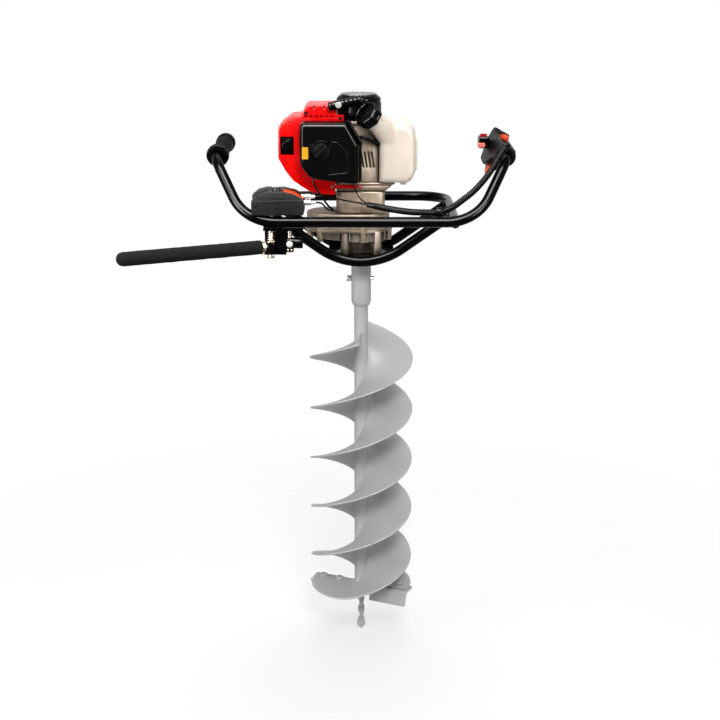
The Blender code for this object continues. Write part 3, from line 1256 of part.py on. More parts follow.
def make_lever():
    """The steel arm on its pivot eye, with a foam sleeve over most of its length."""
    x, y = LEVER_PIVOT.x, LEVER_PIVOT.y
    eye = cylinder(0.0100, (x, y, LEVER_Z - 0.0095), (x, y, LEVER_Z + 0.0085), 18)
    length = LEVER_FOAM_LENGTH
    start, end = PIVOT + LEVER_DIRECTION * 0.006, PIVOT + LEVER_DIRECTION * (length + 0.012)
    arm = cylinder(LEVER_TUBE_R, start, end, 16)
    hole = cylinder(0.004 + RUN_FIT, (x, y, LEVER_Z - 0.03), (x, y, LEVER_Z + 0.03), 20)
    bar = part("lever_arm", eye, BLACK_PAINT, [arm], [hole])
    r, b, near = LEVER_FOAM_R, LEVER_TUBE_R + SEAT_GAP, 0.019
    profile = [(b, near), (r - 0.002, near), (r, near + 0.002), (r, length + 0.004), (r - 0.0018,
        length + 0.010),
               (r - 0.006, length + 0.016), (0, length + 0.018), (0, length + 0.0125), (b, length + 0.0125)]
    foam = part("lever_foam", turned(profile, PIVOT, LEVER_DIRECTION, 18), FOAM)
    carry("lever_axis", PIVOT, [bar, foam])


def least_gap(route, radius, apart):
    """The least gap of a tube to itself, between points of its route that are a length apart along it."""
    points = [a.lerp(b, k / 4) for a, b in zip(route, route[1:]) for k in range(4)] + [route[-1]]
    lengths = [0.0]
    for a, b in zip(points, points[1:]):
        lengths.append(lengths[-1] + (b - a).length)
    pairs = (
        (points[i] - points[k]).length
        for i in range(len(points))
        for k in range(i)
        if lengths[i] - lengths[k] > apart
    )
    return min(pairs) - 2 * radius


def make_return_spring():
    """The torsion spring above the lever's eye: one unbroken wire wound round the bolt, with two legs."""
    x, y = LEVER_PIVOT.x, LEVER_PIVOT.y
    wire, turns, per_turn = 0.0010, 4, 8
    top = BRACKET_TOP_Z - 0.0040 - wire - 0.0006
    low = LEVER_Z + 0.0085 + wire + 0.0006
    route = [Vector((x - 0.001, y + 0.016, top))]
    for k in range(turns * per_turn + 1):
        a = math.pi * 2 * k / per_turn
        route.append(Vector((x + SPRING_R * math.cos(a), y + SPRING_R * math.sin(a),
                             top + (low - top) * k / (turns * per_turn))))
    route[0] = Vector((x + SPRING_R, y + 0.012, top))
    route.insert(1, Vector((x + SPRING_R, y + 0.004, top)))
    route.append(Vector((x + SPRING_R, y - 0.010, low)))
    print("return_spring, least gap to itself in mm:", round(1000 * least_gap(route, wire,
        math.pi * SPRING_R), 2))
    return part("return_spring", tube(route, wire, 6), STEEL)


BOX = Vector((-0.1485, -0.132, FRAME_Z + TUBE_R + SEAT_GAP))


def make_cable_box():
    """The brake and cable box that sits on the front tube, with a coloured insert and a small cap."""
    arc = [(-0.0465, 0.0035), (0.0465, 0.0035), (0.0465, 0.031), (0.030, 0.041), (0.008, 0.046), (-0.018,
        0.044),
           (-0.036, 0.038), (-0.0465, 0.029)]
    outline = [(BOX.x + x, BOX.z + z) for x, z in rounded(arc, [0.002, 0.002, 0.003, 0.008, 0.008, 0.008,
        0.008, 0.003], 1)]
    shell = extrusion(outline, BOX.y - 0.033, BOX.y + 0.033, FACING_FRONT, rounding=0.002, segments=1)
    room = extrusion(inset(outline, 0.003), BOX.y - 0.030, BOX.y + 0.040, FACING_FRONT)
    window = block((BOX.x + 0.0100, BOX.y - 0.028, BOX.z + 0.0285), (BOX.x + 0.060, BOX.y - 0.004,
        BOX.z + 0.060))
    saddle = front_tube_cutter()
    leg = cylinder(TUBE_R + SEAT_GAP, (-LEG_X, FRONT_Y - 0.02, FRAME_Z), (-LEG_X, -0.06, FRAME_Z), 16)
    ports = [cylinder(0.0046 + SEAT_GAP, (BOX.x + 0.040, BOX.y + 0.012, z), (BOX.x + 0.052, BOX.y + 0.012,
        z), 18)
             for z in ADJUSTERS]
    flap = [(-0.047, 0.028), (-0.036, 0.0372), (-0.018, 0.0432), (-0.013, 0.0442), (-0.013, 0.0462),
        (-0.021, 0.0462),
            (-0.036, 0.0425), (-0.0468, 0.0340)]
    raised = extrusion([(BOX.x + x, BOX.z + z) for x, z in flap], BOX.y + 0.001, BOX.y + 0.0325, FACING_FRONT)
    lid = cylinder(0.0075, (BOX.x - 0.002, BOX.y - 0.016, BOX.z + 0.042), (BOX.x - 0.002, BOX.y - 0.016,
        BOX.z + 0.051), 18)
    part("cable_box", shell, BLACK_GLOSS, [raised, lid], [room, window, saddle, leg, *ports])
    hump = [(0.0105, 0.0290), (0.0450, 0.0290), (0.0450, 0.0330), (0.0300, 0.0425), (0.0105, 0.0470)]
    insert = extrusion([(BOX.x + x, BOX.z + z) for x, z in hump], BOX.y - 0.0275, BOX.y - 0.0045,
        FACING_FRONT,
                       rounding=0.001, segments=1)
    part("box_insert", insert, ORANGE_PLASTIC)
    for name, z in zip(("upper_adjuster", "lower_adjuster"), ADJUSTERS):
        x = BOX.x + 0.0400
        steps = [(0.0016 + 0.00035, 0), (0.0046, 0), (0.0046, 0.0068), (0.0050, 0.0068), (0.0050, 0.0182),
                 (0.0034, 0.0182), (0.0028, 0.0255), (0.0016 + 0.00035, 0.0255)]
        part(name, turned(steps, (x, BOX.y + 0.012, z), (1, 0, 0), 12), STEEL)


ADJUSTERS = (-0.0667, -0.0774)
make_lever_bracket()
make_pivot_bolt()
make_lever()
make_return_spring()
make_cable_box()


# Cables and the ribbed conduit
CONDUIT_ROUTE = [
    (0.2665, -0.0790, 0.0205), (0.2570, -0.0890, 0.0125), (0.2460, -0.0985, -0.0030), (0.2340, -0.1075,
        -0.0210),
    (0.2190, -0.1180, -0.0390), (0.2000, -0.1290, -0.0570), (0.1800, -0.1390, -0.0710), (0.1600, -0.1500,
        -0.0830),
    (0.1386, -0.1545, -0.0893), (0.1150, -0.1500, -0.0905), (0.0930, -0.1380, -0.0920), (0.0700, -0.1150,
        -0.0930),
    (0.0480, -0.0920, -0.0930), (0.0280, -0.0760, -0.0915), (0.0120, -0.0680, -0.0895),
]


def make_conduit():
    """A ribbed conduit, bored right through, clipped to the front tube."""
    line = smooth(CONDUIT_ROUTE, 8)
    lengths = [0.0]
    for a, b in zip(line, line[1:]):
        lengths.append(lengths[-1] + (b - a).length)
    total = lengths[-1]

    def at(distance):
        for k, (start, end) in enumerate(zip(lengths, lengths[1:])):
            if distance <= end or k == len(line) - 2:
                return line[k].lerp(line[k + 1], (distance - start) / (end - start))

    count = 54
    ends = 0.012
    pitch = (total - 2 * ends) / count
    crest, root = 1.0, 0.82
    route, radii = [at(0.0), at(ends)], [root, root]
    for k in range(count):
        start = ends + pitch * k
        for part_way, size in ((0.30, crest), (0.85, root)):
            route.append(at(start + pitch * part_way))
            radii.append(size)
    route += [at(total)]
    radii += [root]
    bore_line = [at(total * k / 46) for k in range(47)]
    bore_line[0] = bore_line[0] + (bore_line[0] - bore_line[1]).normalized() * 0.004
    bore_line[-1] = bore_line[-1] + (bore_line[-1] - bore_line[-2]).normalized() * 0.004
    body = tube(route, CONDUIT_R, 8, radii)
    return part("conduit", body, BLACK_MATTE, cuts=[tube(bore_line, CONDUIT_BORE_R * 0.8, 6)])


def make_conduit_clip():
    x, z = 0.1386, -0.0893
    band = extrusion(circle(CONDUIT_R + 0.0026, 20, (FRONT_Y + 0.0025, z)), x - 0.0055, x + 0.0055,
        FACING_SIDE,
                     holes=[circle(CONDUIT_R + 0.0010, 20, (FRONT_Y + 0.0025, z))])
    saddle = block((x - 0.0055, FRONT_Y - 0.006, FRAME_Z + TUBE_R - 0.004), (x + 0.0055, FRONT_Y + 0.010,
        z - 0.0072))
    tube_cut = front_tube_cutter()
    part("conduit_clip", band, BLACK_MATTE, [saddle], [tube_cut])


def make_cables():
    """The cables between the box's adjusters and the engine, and the throttle's inner cable."""
    y = BOX.y + 0.012
    starts = [Vector((BOX.x + 0.042, y, z)) for z in ADJUSTERS]
    exits = [start + Vector((0.026, 0, 0)) for start in starts]
    upper_bends = [exits[0], exits[0] + Vector((0.012, 0.006, 0.0)), (-0.055, -0.094, -0.072),
                   (-0.030, -0.078, -0.080), (-0.004, -0.0690, -0.0860), (0.0115, -0.0680, -0.0893)]
    lower_bends = [exits[1], exits[1] + Vector((0.010, 0.006, -0.003)), (-0.062, -0.090, -0.094),
                   (-0.050, -0.062, -0.1020 + ENGINE_LIFT), (-0.0495, -0.0475, -0.1030 + ENGINE_LIFT)]
    upper = [starts[0]] + smooth(upper_bends, 3)
    lower = [starts[1]] + smooth(lower_bends, 3)
    part("brake_cable_upper", tube(upper, CABLE_R, 6), BLACK_MATTE)
    part("brake_cable_lower", tube(lower, CABLE_R, 6), BLACK_MATTE)
    throttle = smooth([(0.0125, -0.0655, -0.0893), (-0.0040, -0.0640, -0.0760), (-0.0130, -0.0640, -0.0560 + ENGINE_LIFT),
                       (-0.0180, -0.0620, -0.0372 + ENGINE_LIFT)], 4)
    part("throttle_cable", tube(throttle, CABLE_R * 0.8, 6), BLACK_MATTE)


make_conduit()
make_conduit_clip()
make_cables()
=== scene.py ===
# %% [markdown]
# # A two-hand earth auger
# The real machine is a small petrol engine that hangs in a bent tube frame and turns a drilling bit
# below it through a cast gearbox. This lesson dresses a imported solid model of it: the solids give every
# place and size, and each step adds the surface, the finish or the small fastener that a solid lacks.
# Everything is in metres, with Z up along the drilling axis.

# %% Load the frame
import json
import math

import bmesh
import bpy
import numpy as np
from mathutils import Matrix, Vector


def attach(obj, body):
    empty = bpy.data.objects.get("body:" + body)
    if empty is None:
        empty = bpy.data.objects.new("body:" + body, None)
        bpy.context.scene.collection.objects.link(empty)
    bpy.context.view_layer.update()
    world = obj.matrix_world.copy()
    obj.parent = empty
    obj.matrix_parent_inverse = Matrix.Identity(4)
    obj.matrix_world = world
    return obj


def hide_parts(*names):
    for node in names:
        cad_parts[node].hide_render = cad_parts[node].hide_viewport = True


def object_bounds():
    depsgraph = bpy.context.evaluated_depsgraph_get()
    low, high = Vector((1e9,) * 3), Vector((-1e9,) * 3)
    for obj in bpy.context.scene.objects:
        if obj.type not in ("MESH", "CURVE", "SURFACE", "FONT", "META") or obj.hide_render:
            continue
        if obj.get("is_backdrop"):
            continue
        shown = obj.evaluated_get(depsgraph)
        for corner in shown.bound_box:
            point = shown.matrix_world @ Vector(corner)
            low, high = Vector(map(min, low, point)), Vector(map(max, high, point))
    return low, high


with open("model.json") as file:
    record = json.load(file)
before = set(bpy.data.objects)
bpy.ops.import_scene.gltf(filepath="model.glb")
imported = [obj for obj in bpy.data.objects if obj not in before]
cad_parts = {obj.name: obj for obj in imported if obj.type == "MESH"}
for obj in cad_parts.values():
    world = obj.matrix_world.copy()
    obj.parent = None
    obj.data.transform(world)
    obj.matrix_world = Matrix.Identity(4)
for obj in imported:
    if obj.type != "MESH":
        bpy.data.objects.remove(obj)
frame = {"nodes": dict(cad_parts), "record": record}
low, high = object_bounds()
body_of = {node: body for body, nodes in frame["record"]["behaviour"]["bodies"].items() for node in nodes}
print("nodes:", len(frame["nodes"]), "size in mm:", [round(1000 * (b - a), 1) for a, b in zip(low, high)])

# %% [markdown]
# ## The camera
# The photographer stood at the working side, almost three metres away, and looked down a little. A long
# lens keeps the frame's far tube nearly as wide as its near one. The distance, the 15 degree slope and the
# aim were found by laying known sizes, the bit's and the tube's, over the photograph. The camera could
# also be matched by eye, but two known sizes at two depths settle it without guessing.

# %% Camera
CAMERA_DISTANCE = 2.810
CAMERA_SLOPE = math.radians(15)
CAMERA_AIM = Vector((0, 0, -0.403))
SENSOR_MM, FOCAL_MM, SHIFT = 36, 72.5, -0.0016

lens = bpy.data.cameras.new("camera")
lens.sensor_width, lens.lens, lens.shift_x = SENSOR_MM, FOCAL_MM, SHIFT
camera = bpy.data.objects.new("camera", lens)
back_along = Vector((0, -math.cos(CAMERA_SLOPE), math.sin(CAMERA_SLOPE)))
camera.location = CAMERA_AIM + CAMERA_DISTANCE * back_along
camera.rotation_euler = (math.pi / 2 - CAMERA_SLOPE, 0, 0)
bpy.context.scene.collection.objects.link(camera)
bpy.context.scene.camera = camera
bpy.context.scene.view_settings.view_transform = "Standard"
print("camera at", [round(v, 3) for v in camera.location])

# %% [markdown]
# ## Light, backdrop and floor
# A catalogue picture has a white surround and soft shadows. Three large lamps give the soft light: a
# strong one high in front, a weaker one at the left, and one overhead behind. The white comes from the
# world's colour as the camera, glossy and clear surfaces see it, not from more light on the machine, so
# black paint stays black. The floor is a disc that fades into that white, and so has no visible edge.

# %% Lamps
LIT_POINT = Vector((0, 0, -0.25))


def soft_lamp(name, place, size, power):
    """A square lamp of a side in metres that faces the middle of the machine, with a power in watts."""
    lamp = bpy.data.lights.new(name, "AREA")
    lamp.size = size
    lamp.energy = power
    holder = bpy.data.objects.new(name, lamp)
    holder.location = place
    holder.rotation_euler = (LIT_POINT - Vector(place)).to_track_quat("-Z", "Y").to_euler()
    bpy.context.scene.collection.objects.link(holder)


soft_lamp("key_lamp", (0.3, -2.7, 1.5), 0.8, 62)
soft_lamp("fill_lamp", (-2.3, -1.6, 0.7), 1.0, 17)
soft_lamp("top_lamp", (0.1, 0.9, 2.3), 1.6, 40)
print("soft lamps:", len(bpy.data.lights))

# %% [markdown]
# Gloss shows a lamp's shape, so three panels are there for the highlights alone. They draw the long bright
# lines on the tubes and along the lids' edges, and no diffuse light comes from them.

# %% Panels for the highlights
def highlight_panel(name, place, width, height, power):
    """A lamp of a width and a height in metres that only glossy rays see."""
    soft_lamp(name, place, width, power)
    panel = bpy.data.objects[name]
    panel.data.shape, panel.data.size_y = "RECTANGLE", height
    panel.visible_diffuse = panel.visible_transmission = False


highlight_panel("panel_left", (-1.9, -1.5, 0.55), 0.85, 1.6, 520)
highlight_panel("panel_right", (1.7, -1.9, 0.75), 0.40, 1.4, 240)
highlight_panel("panel_top", (-0.2, -1.3, 1.75), 1.9, 1.15, 900)
print("lamps:", len(bpy.data.lights))

# %% [markdown]
# The world is two backgrounds. A dim one lights the machine from all round, and a white one is all that
# the camera and the glossy and clear surfaces see. A light path node chooses between them.

# %% White world
def add_node(tree, kind, values=(), **settings):
    """Adds a shader node, with values for its sockets and settings for its properties."""
    made = tree.nodes.new("ShaderNode" + kind)
    for socket, value in dict(values).items():
        made.inputs[socket].default_value = value
    for key, value in settings.items():
        setattr(made, key, value)
    return made


def join(tree, *pairs):
    """Links each pair of an output and an input socket."""
    for start, end in pairs:
        tree.links.new(start, end)


SKY_STRENGTH = 0.42
world = bpy.data.worlds.new("studio")
world.use_nodes = True
bpy.context.scene.world = world
tree = world.node_tree
tree.nodes.clear()
sky, white = (add_node(tree, "Background", {"Color": (1, 1, 1, 1), "Strength": v}) for v in (SKY_STRENGTH, 1))
ray = add_node(tree, "LightPath")
either, any_of = (add_node(tree, "Math", operation="MAXIMUM") for _ in range(2))
choose, surround = add_node(tree, "MixShader"), add_node(tree, "OutputWorld")
join(tree, (ray.outputs["Is Camera Ray"], either.inputs[0]), (ray.outputs["Is Glossy Ray"], either.inputs[1]),
     (either.outputs[0], any_of.inputs[0]), (ray.outputs["Is Transmission Ray"], any_of.inputs[1]),
     (any_of.outputs[0], choose.inputs[0]), (sky.outputs[0], choose.inputs[1]),
     (white.outputs[0], choose.inputs[2]), (choose.outputs[0], surround.inputs[0]))
print("world nodes:", len(tree.nodes))

# %% [markdown]
# The paper disc is a mix of matt white and nothing. The share of nothing grows with the distance from the
# drilling axis, so the shadow is full under the bit and the rim is clear.

# %% Floor
FLOOR_R, FLOOR_SIDES, FLOOR_GAP = 1.6, 96, 0.0004
FADE_FROM, FADE_TO, CLEAR_AT_CENTRE = 0.35, 1.45, 0.55
angles = np.linspace(0, 2 * math.pi, FLOOR_SIDES + 1)[:-1]
rim = FLOOR_R * np.stack([np.cos(angles), np.sin(angles), np.zeros(FLOOR_SIDES)], 1)
rim[:, 2] = low.z - FLOOR_GAP
floor_mesh = bpy.data.meshes.new("floor")
floor_mesh.from_pydata(rim.tolist(), [], [tuple(range(FLOOR_SIDES))])
floor = bpy.data.objects.new("floor", floor_mesh)
bpy.context.scene.collection.objects.link(floor)
paper = bpy.data.materials.new("floor_paper")
paper.use_nodes = True
tree = paper.node_tree
tree.nodes.clear()
place = add_node(tree, "TexCoord")
level = add_node(tree, "VectorMath", {1: (1, 1, 0)}, operation="MULTIPLY")
reach = add_node(tree, "VectorMath", operation="LENGTH")
fade = add_node(tree, "MapRange", {"From Min": FADE_FROM, "From Max": FADE_TO, "To Min": CLEAR_AT_CENTRE},
                interpolation_type="SMOOTHSTEP")
matt = add_node(tree, "BsdfDiffuse", {"Color": (0.93, 0.93, 0.93, 1)})
gone, mix, out = (add_node(tree, kind) for kind in ("BsdfTransparent", "MixShader", "OutputMaterial"))
join(tree, (place.outputs["Object"], level.inputs[0]), (level.outputs[0], reach.inputs[0]),
     (reach.outputs["Value"], fade.inputs["Value"]), (fade.outputs["Result"], mix.inputs[0]),
     (matt.outputs[0], mix.inputs[1]), (gone.outputs[0], mix.inputs[2]), (mix.outputs[0], out.inputs[0]))
floor_mesh.materials.append(paper)
floor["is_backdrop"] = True
print("floor at z", round(low.z, 4))

# %% [markdown]
# ## Finishes
# Every finish on the machine is one shader with a colour, a roughness and a fine relief. Painted steel has
# a faint orange peel, moulded plastic a fine grain, cast alloy a coarse sand texture with painted shade in
# its hollows.
# Photographs of surfaces would give the same, but they need a map for each part. Noise in the object's
# own coordinates needs none, follows the part when it moves, and keeps its true scale in millimetres.

# %% One maker for all finishes
WORN_FROM, WORN_FULL, COAT_ROUGHNESS = 0.53, 0.62, 0.05


def span(low_in, high_in, low_out, high_out):
    """The sockets of a Map Range node."""
    return {"From Min": low_in, "From Max": high_in, "To Min": low_out, "To Max": high_out}


def finish(name, colour, roughness, specular, grain, grain_size, shade, shade_size, rough_change, metallic=0.0,
           coat=0.0, wear=None, stretch=(1, 1, 1)):
    """A Principled shader, with the grain in micrometres and the sizes in millimetres.
    Height = grain * noise(place / grain_size).
    Colour = colour * (1 - shade + 2 * shade * noise(place / shade_size)), and roughness goes the same way
    by rough_change. With wear, edges turn towards a second colour."""
    material = bpy.data.materials.new(name)
    material.use_nodes = True
    tree = material.node_tree
    shader = tree.nodes["Principled BSDF"]
    values = {"Base Color": (*colour, 1), "Roughness": roughness, "Metallic": metallic,
              "Specular IOR Level": specular, "Coat Weight": coat, "Coat Roughness": COAT_ROUGHNESS}
    for socket, value in values.items():
        shader.inputs[socket].default_value = value
    place = add_node(tree, "TexCoord")
    turn = add_node(tree, "Mapping", {"Scale": stretch})
    fine = add_node(tree, "TexNoise", {"Scale": 1000 / grain_size, "Detail": 3})
    cloud = add_node(tree, "TexNoise", {"Scale": 1000 / shade_size, "Detail": 4})
    relief = add_node(tree, "Bump", {"Strength": 1, "Distance": grain / 1e6})
    tone = add_node(tree, "MapRange", span(0.25, 0.75, 1 - shade, 1 + shade))
    tint = add_node(tree, "Mix", data_type="RGBA", blend_type="MULTIPLY")
    tint.inputs["Factor"].default_value, tint.inputs["A"].default_value = 1, (*colour, 1)
    join(tree, (place.outputs["Object"], turn.inputs["Vector"]),
         (turn.outputs["Vector"], fine.inputs["Vector"]),
         (turn.outputs["Vector"], cloud.inputs["Vector"]), (fine.outputs["Fac"], relief.inputs["Height"]),
         (relief.outputs["Normal"], shader.inputs["Normal"]), (cloud.outputs["Fac"], tone.inputs["Value"]),
         (tone.outputs["Result"], tint.inputs["B"]), (tint.outputs["Result"], shader.inputs["Base Color"]))
    if rough_change:
        dull = add_node(tree, "MapRange", span(0.3, 0.7, roughness - rough_change, roughness + rough_change))
        join(tree, (cloud.outputs["Fac"], dull.inputs["Value"]),
             (dull.outputs["Result"], shader.inputs["Roughness"]))
    if wear:
        edge = add_node(tree, "NewGeometry")
        worn = add_node(tree, "MapRange", {"From Min": WORN_FROM, "From Max": WORN_FULL})
        rub = add_node(tree, "Mix", data_type="RGBA")
        rub.inputs["B"].default_value = (*wear, 1)
        join(tree, (edge.outputs["Pointiness"], worn.inputs["Value"]),
             (worn.outputs["Result"], rub.inputs["Factor"]),
             (tint.outputs["Result"], rub.inputs["A"]), (rub.outputs["Result"], shader.inputs["Base Color"]))
    return material


print("finish maker ready")

# %% [markdown]
# The table gives each finish its colour, as a neutral light shows it, its roughness and its share of
# mirror light. Then come the grain's height in micrometres and its size in millimetres, the strength of
# the cloudy shade and its size in millimetres, and how much the roughness changes with it. The red cover
# is a saturated gloss plastic, the tank a cloudy natural one with a warm tint, and the bit a light grey
# stove enamel. The blacks are much darker than they seem, because the white surround shines in them.

# %% The machine's finishes
TABLE = {
    "black_paint": ((0.0006, 0.0005, 0.0005), 0.17, 0.028, 30, 3, 0.2, 50, 0.04),
    "grey_paint": ((0.45, 0.45, 0.45), 0.52, 0.12, 40, 4, 0.04, 60, 0.05),
    "cast_alloy": ((0.190, 0.143, 0.100), 0.50, 0.10, 220, 1.6, 0.28, 12, 0.08, 0.25, 0, (0.32, 0.265, 0.205)),
    "steel": ((0.60, 0.58, 0.55), 0.30, 0.5, 20, 0.7, 0.12, 15, 0.07, 1, 0, None, (1, 1, 5)),
    "red_plastic": ((0.95, 0.0, 0.0), 0.26, 0.07, 40, 4.5, 0.05, 30, 0.04),
    "black_gloss": ((0.0009, 0.0008, 0.0008), 0.19, 0.042, 30, 4, 0.2, 40, 0.04),
    "black_matte": ((0.0012, 0.0010, 0.0010), 0.33, 0.034, 30, 0.7, 0.22, 20, 0.06),
    "grey_rubber": ((0.0022, 0.0018, 0.0025), 0.36, 0.035, 30, 1, 0.12, 15, 0.06),
    # A darker copy of the cast alloy: painted shade for the gearbox's lower casing and the lower cover screws.
    "sooty_alloy": ((0.110, 0.080, 0.054), 0.52, 0.10, 220, 1.6, 0.30, 12, 0.08, 0.25, 0, (0.24, 0.205, 0.165)),
    "rubber": ((0.0014, 0.0012, 0.0014), 0.34, 0.018, 40, 1.2, 0.2, 15, 0.08),
    "foam": ((0.0072, 0.0065, 0.0060), 0.93, 0.03, 600, 1.3, 0.4, 3, 0),
    "tank_plastic": ((0.81, 0.712, 0.612), 0.42, 0.25, 60, 2.2, 0.05, 30, 0.05),
    "orange_plastic": ((0.88, 0.075, 0.006), 0.38, 0.06, 10, 2.5, 0.06, 12, 0.05),
    "yellow_plate": ((0.82, 0.40, 0.006), 0.45, 0.05, 10, 2, 0.05, 6, 0),
    "pale_label": ((0.46, 0.44, 0.41), 0.40, 0.5, 20, 2, 0.04, 6, 0),
    "smoke_plastic": ((0.115, 0.105, 0.115), 0.30, 0.3, 30, 3, 0.10, 10, 0.05, 0, 0.1),
    "box_plastic": ((0.0100, 0.0093, 0.0079), 0.40, 0.07, 40, 0.9, 0.10, 20, 0.05),
    "button_plastic": ((0.88, 0.20, 0.16), 0.40, 0.08, 10, 1, 0.05, 4, 0),
    "rocker_plastic": ((0.48, 0.002, 0.001), 0.35, 0.05, 30, 1, 0.05, 4, 0),
    "aged_zinc": ((0.125, 0.105, 0.085), 0.40, 0.5, 40, 1, 0.25, 4, 0.08, 1),
    "zinc": ((0.34, 0.32, 0.295), 0.36, 0.5, 30, 1.2, 0.15, 4, 0.07, 1),
}
FINISH = {name: finish(name, *row) for name, row in TABLE.items()}
print("finishes:", len(FINISH))

# %% [markdown]
# Two finishes need one thing more. Their colour is multiplied by how open each place is, which paints
# shade into the hollows of the castings. The tank's plastic lets some light in and out again, which softens
# the shading on its neck. Clear plastic would do that too, but it would show the empty inside.

# %% Painted shade in the alloy's hollows, light in the tank
HOLLOW_REACH, HOLLOW_POWER = 0.014, 1.6
SCATTER_SHARE, SCATTER_REACH = 0.60, (0.016, 0.013, 0.010)


def shade_hollows(material):
    """Painted shade: colour * occlusion ** power, where the occlusion looks as far as the reach."""
    tree = material.node_tree
    base = tree.nodes["Principled BSDF"].inputs["Base Color"]
    hollow = add_node(tree, "AmbientOcclusion", {"Distance": HOLLOW_REACH}, samples=6)
    deeper = add_node(tree, "Math", {1: HOLLOW_POWER}, operation="POWER")
    painted_shade = add_node(tree, "Mix", data_type="RGBA", blend_type="MULTIPLY")
    painted_shade.inputs["Factor"].default_value = 1
    join(tree, (hollow.outputs["AO"], deeper.inputs[0]), (base.links[0].from_socket, painted_shade.inputs["A"]),
         (deeper.outputs[0], painted_shade.inputs["B"]), (painted_shade.outputs["Result"], base))


# Painted shade in the hollows of both castings.
for name in ("cast_alloy", "sooty_alloy"):
    shade_hollows(FINISH[name])
milky = FINISH["tank_plastic"].node_tree.nodes["Principled BSDF"]
milky.inputs["Subsurface Weight"].default_value = SCATTER_SHARE
milky.inputs["Subsurface Radius"].default_value = SCATTER_REACH
milky.inputs["Subsurface Scale"].default_value = 1
print("scattering reach:", round(1000 * SCATTER_REACH[0]), "mm")

# %% [markdown]
# ## The solids' own finish
# The solids are exact where the real parts are machined, cast or moulded flat, so most stay. A real edge
# is never perfectly sharp, and its thin bright line tells the eye what is metal and what is plastic.
# Modelling every edge by hand takes long. A Weld and a Bevel modifier give the line on any solid, and the
# bevelled faces then take smooth shading with no false shadows.

# %% Dress every solid
SLOT_OF = {row["node"]: row["material_slot"] for row in frame["record"]["subparts"]}
MERGE_WITHIN, EDGE_WIDTH, SHARP_ANGLE = 0.000004, 0.0004, math.radians(35)


def round_edges(thing, width):
    """Rounds by a width every edge that turns more than 35 degrees."""
    bevel = thing.modifiers.new("bevel", "BEVEL")
    bevel.width, bevel.segments = width, 2
    bevel.limit_method, bevel.angle_limit = "ANGLE", SHARP_ANGLE
    return bevel


def dress(node):
    """Gives a solid its finish, merges its doubled corners and rounds its edges."""
    thing = frame["nodes"][node]
    thing.data.materials.clear()
    thing.data.materials.append(FINISH[SLOT_OF[node]])
    weld = thing.modifiers.new("weld", "WELD")
    weld.merge_threshold = MERGE_WITHIN
    round_edges(thing, EDGE_WIDTH).harden_normals = True
    thing.data.polygons.foreach_set("use_smooth", np.ones(len(thing.data.polygons), bool))


for node in frame["nodes"]:
    dress(node)
# The gearbox's lower casing takes the darker alloy, which is painted shade.
OTHER_FINISH = {"cable_box": "box_plastic", "lock_button": "button_plastic", "stop_switch": "rocker_plastic",
                "cutter_blade_left": "grey_paint", "cutter_blade_right": "grey_paint",
                "handle_shell_inner": "grey_rubber", "handle_collar": "black_matte",
                "gearbox_lower_casing": "sooty_alloy", "pivot_bolt": "aged_zinc"}
for node, name in OTHER_FINISH.items():
    frame["nodes"][node].data.materials[0] = FINISH[name]
print("dressed", len(frame["nodes"]), "solids")

# %% [markdown]
# ## Surfaces from formulas
# The solids are built with few sides, so a bent tube shows its facets where it meets the white. The tubes,
# grips, caps, cords and flights are made again as fine grids. A grid is a table of points, one row for
# each step along the piece and one column for each step round it, worked out as one array and joined by
# quads. A curve object with a bevel could make the tubes too, but a grid also makes flights and knurls.

# %% Put a grid into a mesh
def grid_quads(rows, columns, ring=False):
    """Quads of a grid whose columns close on themselves: face (i, k) joins rows i and i + 1 and columns k
    and k + 1. In a ring the last row joins the first."""
    i, k = np.meshgrid(np.arange(rows if ring else rows - 1), np.arange(columns), indexing="ij")
    ahead, below = (k + 1) % columns, (i + 1) % rows
    quads = np.stack([i * columns + k, i * columns + ahead, below * columns + ahead, below * columns + k], -1)
    return [tuple(f) for f in quads.reshape(-1, 4).tolist()]


def surface(name, points, slot_name, body="frame", stands_for=(), caps=True, ring=False, edge=None):
    """A piece from an array of rows x columns x 3 points. Caps close its first and last row, each with a
    fan to its middle, unless it is a ring."""
    rows, columns = points.shape[:2]
    verts, faces = points.reshape(-1, 3), grid_quads(rows, columns, ring)
    if caps and not ring:
        first, last, k = len(verts), (rows - 1) * columns, np.arange(columns)
        verts = np.concatenate([verts, np.stack([points[0].mean(0), points[-1].mean(0)])])
        low_fan = np.stack([np.full(columns, first), (k + 1) % columns, k], 1)
        high_fan = np.stack([np.full(columns, first + 1), last + k, last + (k + 1) % columns], 1)
        faces += [tuple(f) for f in np.concatenate([low_fan, high_fan]).tolist()]
    mesh = bpy.data.meshes.new(name)
    mesh.from_pydata(verts.tolist(), [], faces)
    return piece(name, mesh, slot_name, body, stands_for, edge)


print("grid maker ready")

# %% [markdown]
# Every new mesh becomes a piece of the machine in the same way. Its doubled corners are merged and its
# faces are turned outwards, because light falls wrong on a face that looks inwards. Then it gets a finish
# and a body to ride on, and takes the place of the solids that it stands for. One function does all this,
# so that no piece is forgotten.


def piece(name, mesh, slot_name, body="frame", stands_for=(), edge=None):
    """A mesh becomes a piece of the machine: outward faces, smooth shading, a finish, and a body to ride on."""
    work = bmesh.new()
    work.from_mesh(mesh)
    bmesh.ops.remove_doubles(work, verts=work.verts, dist=1e-7)
    bmesh.ops.recalc_face_normals(work, faces=work.faces)
    work.to_mesh(mesh)
    work.free()
    mesh.polygons.foreach_set("use_smooth", np.ones(len(mesh.polygons), bool))
    mesh.materials.append(FINISH[slot_name])
    thing = bpy.data.objects.new(name, mesh)
    bpy.context.scene.collection.objects.link(thing)
    if edge:
        round_edges(thing, edge)
    lie = thing.modifiers.new("flat_faces_first", "WEIGHTED_NORMAL")
    lie.weight = 80
    if stands_for:
        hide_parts(*stands_for)
    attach(thing, body)
    return thing


print("piece makers ready")

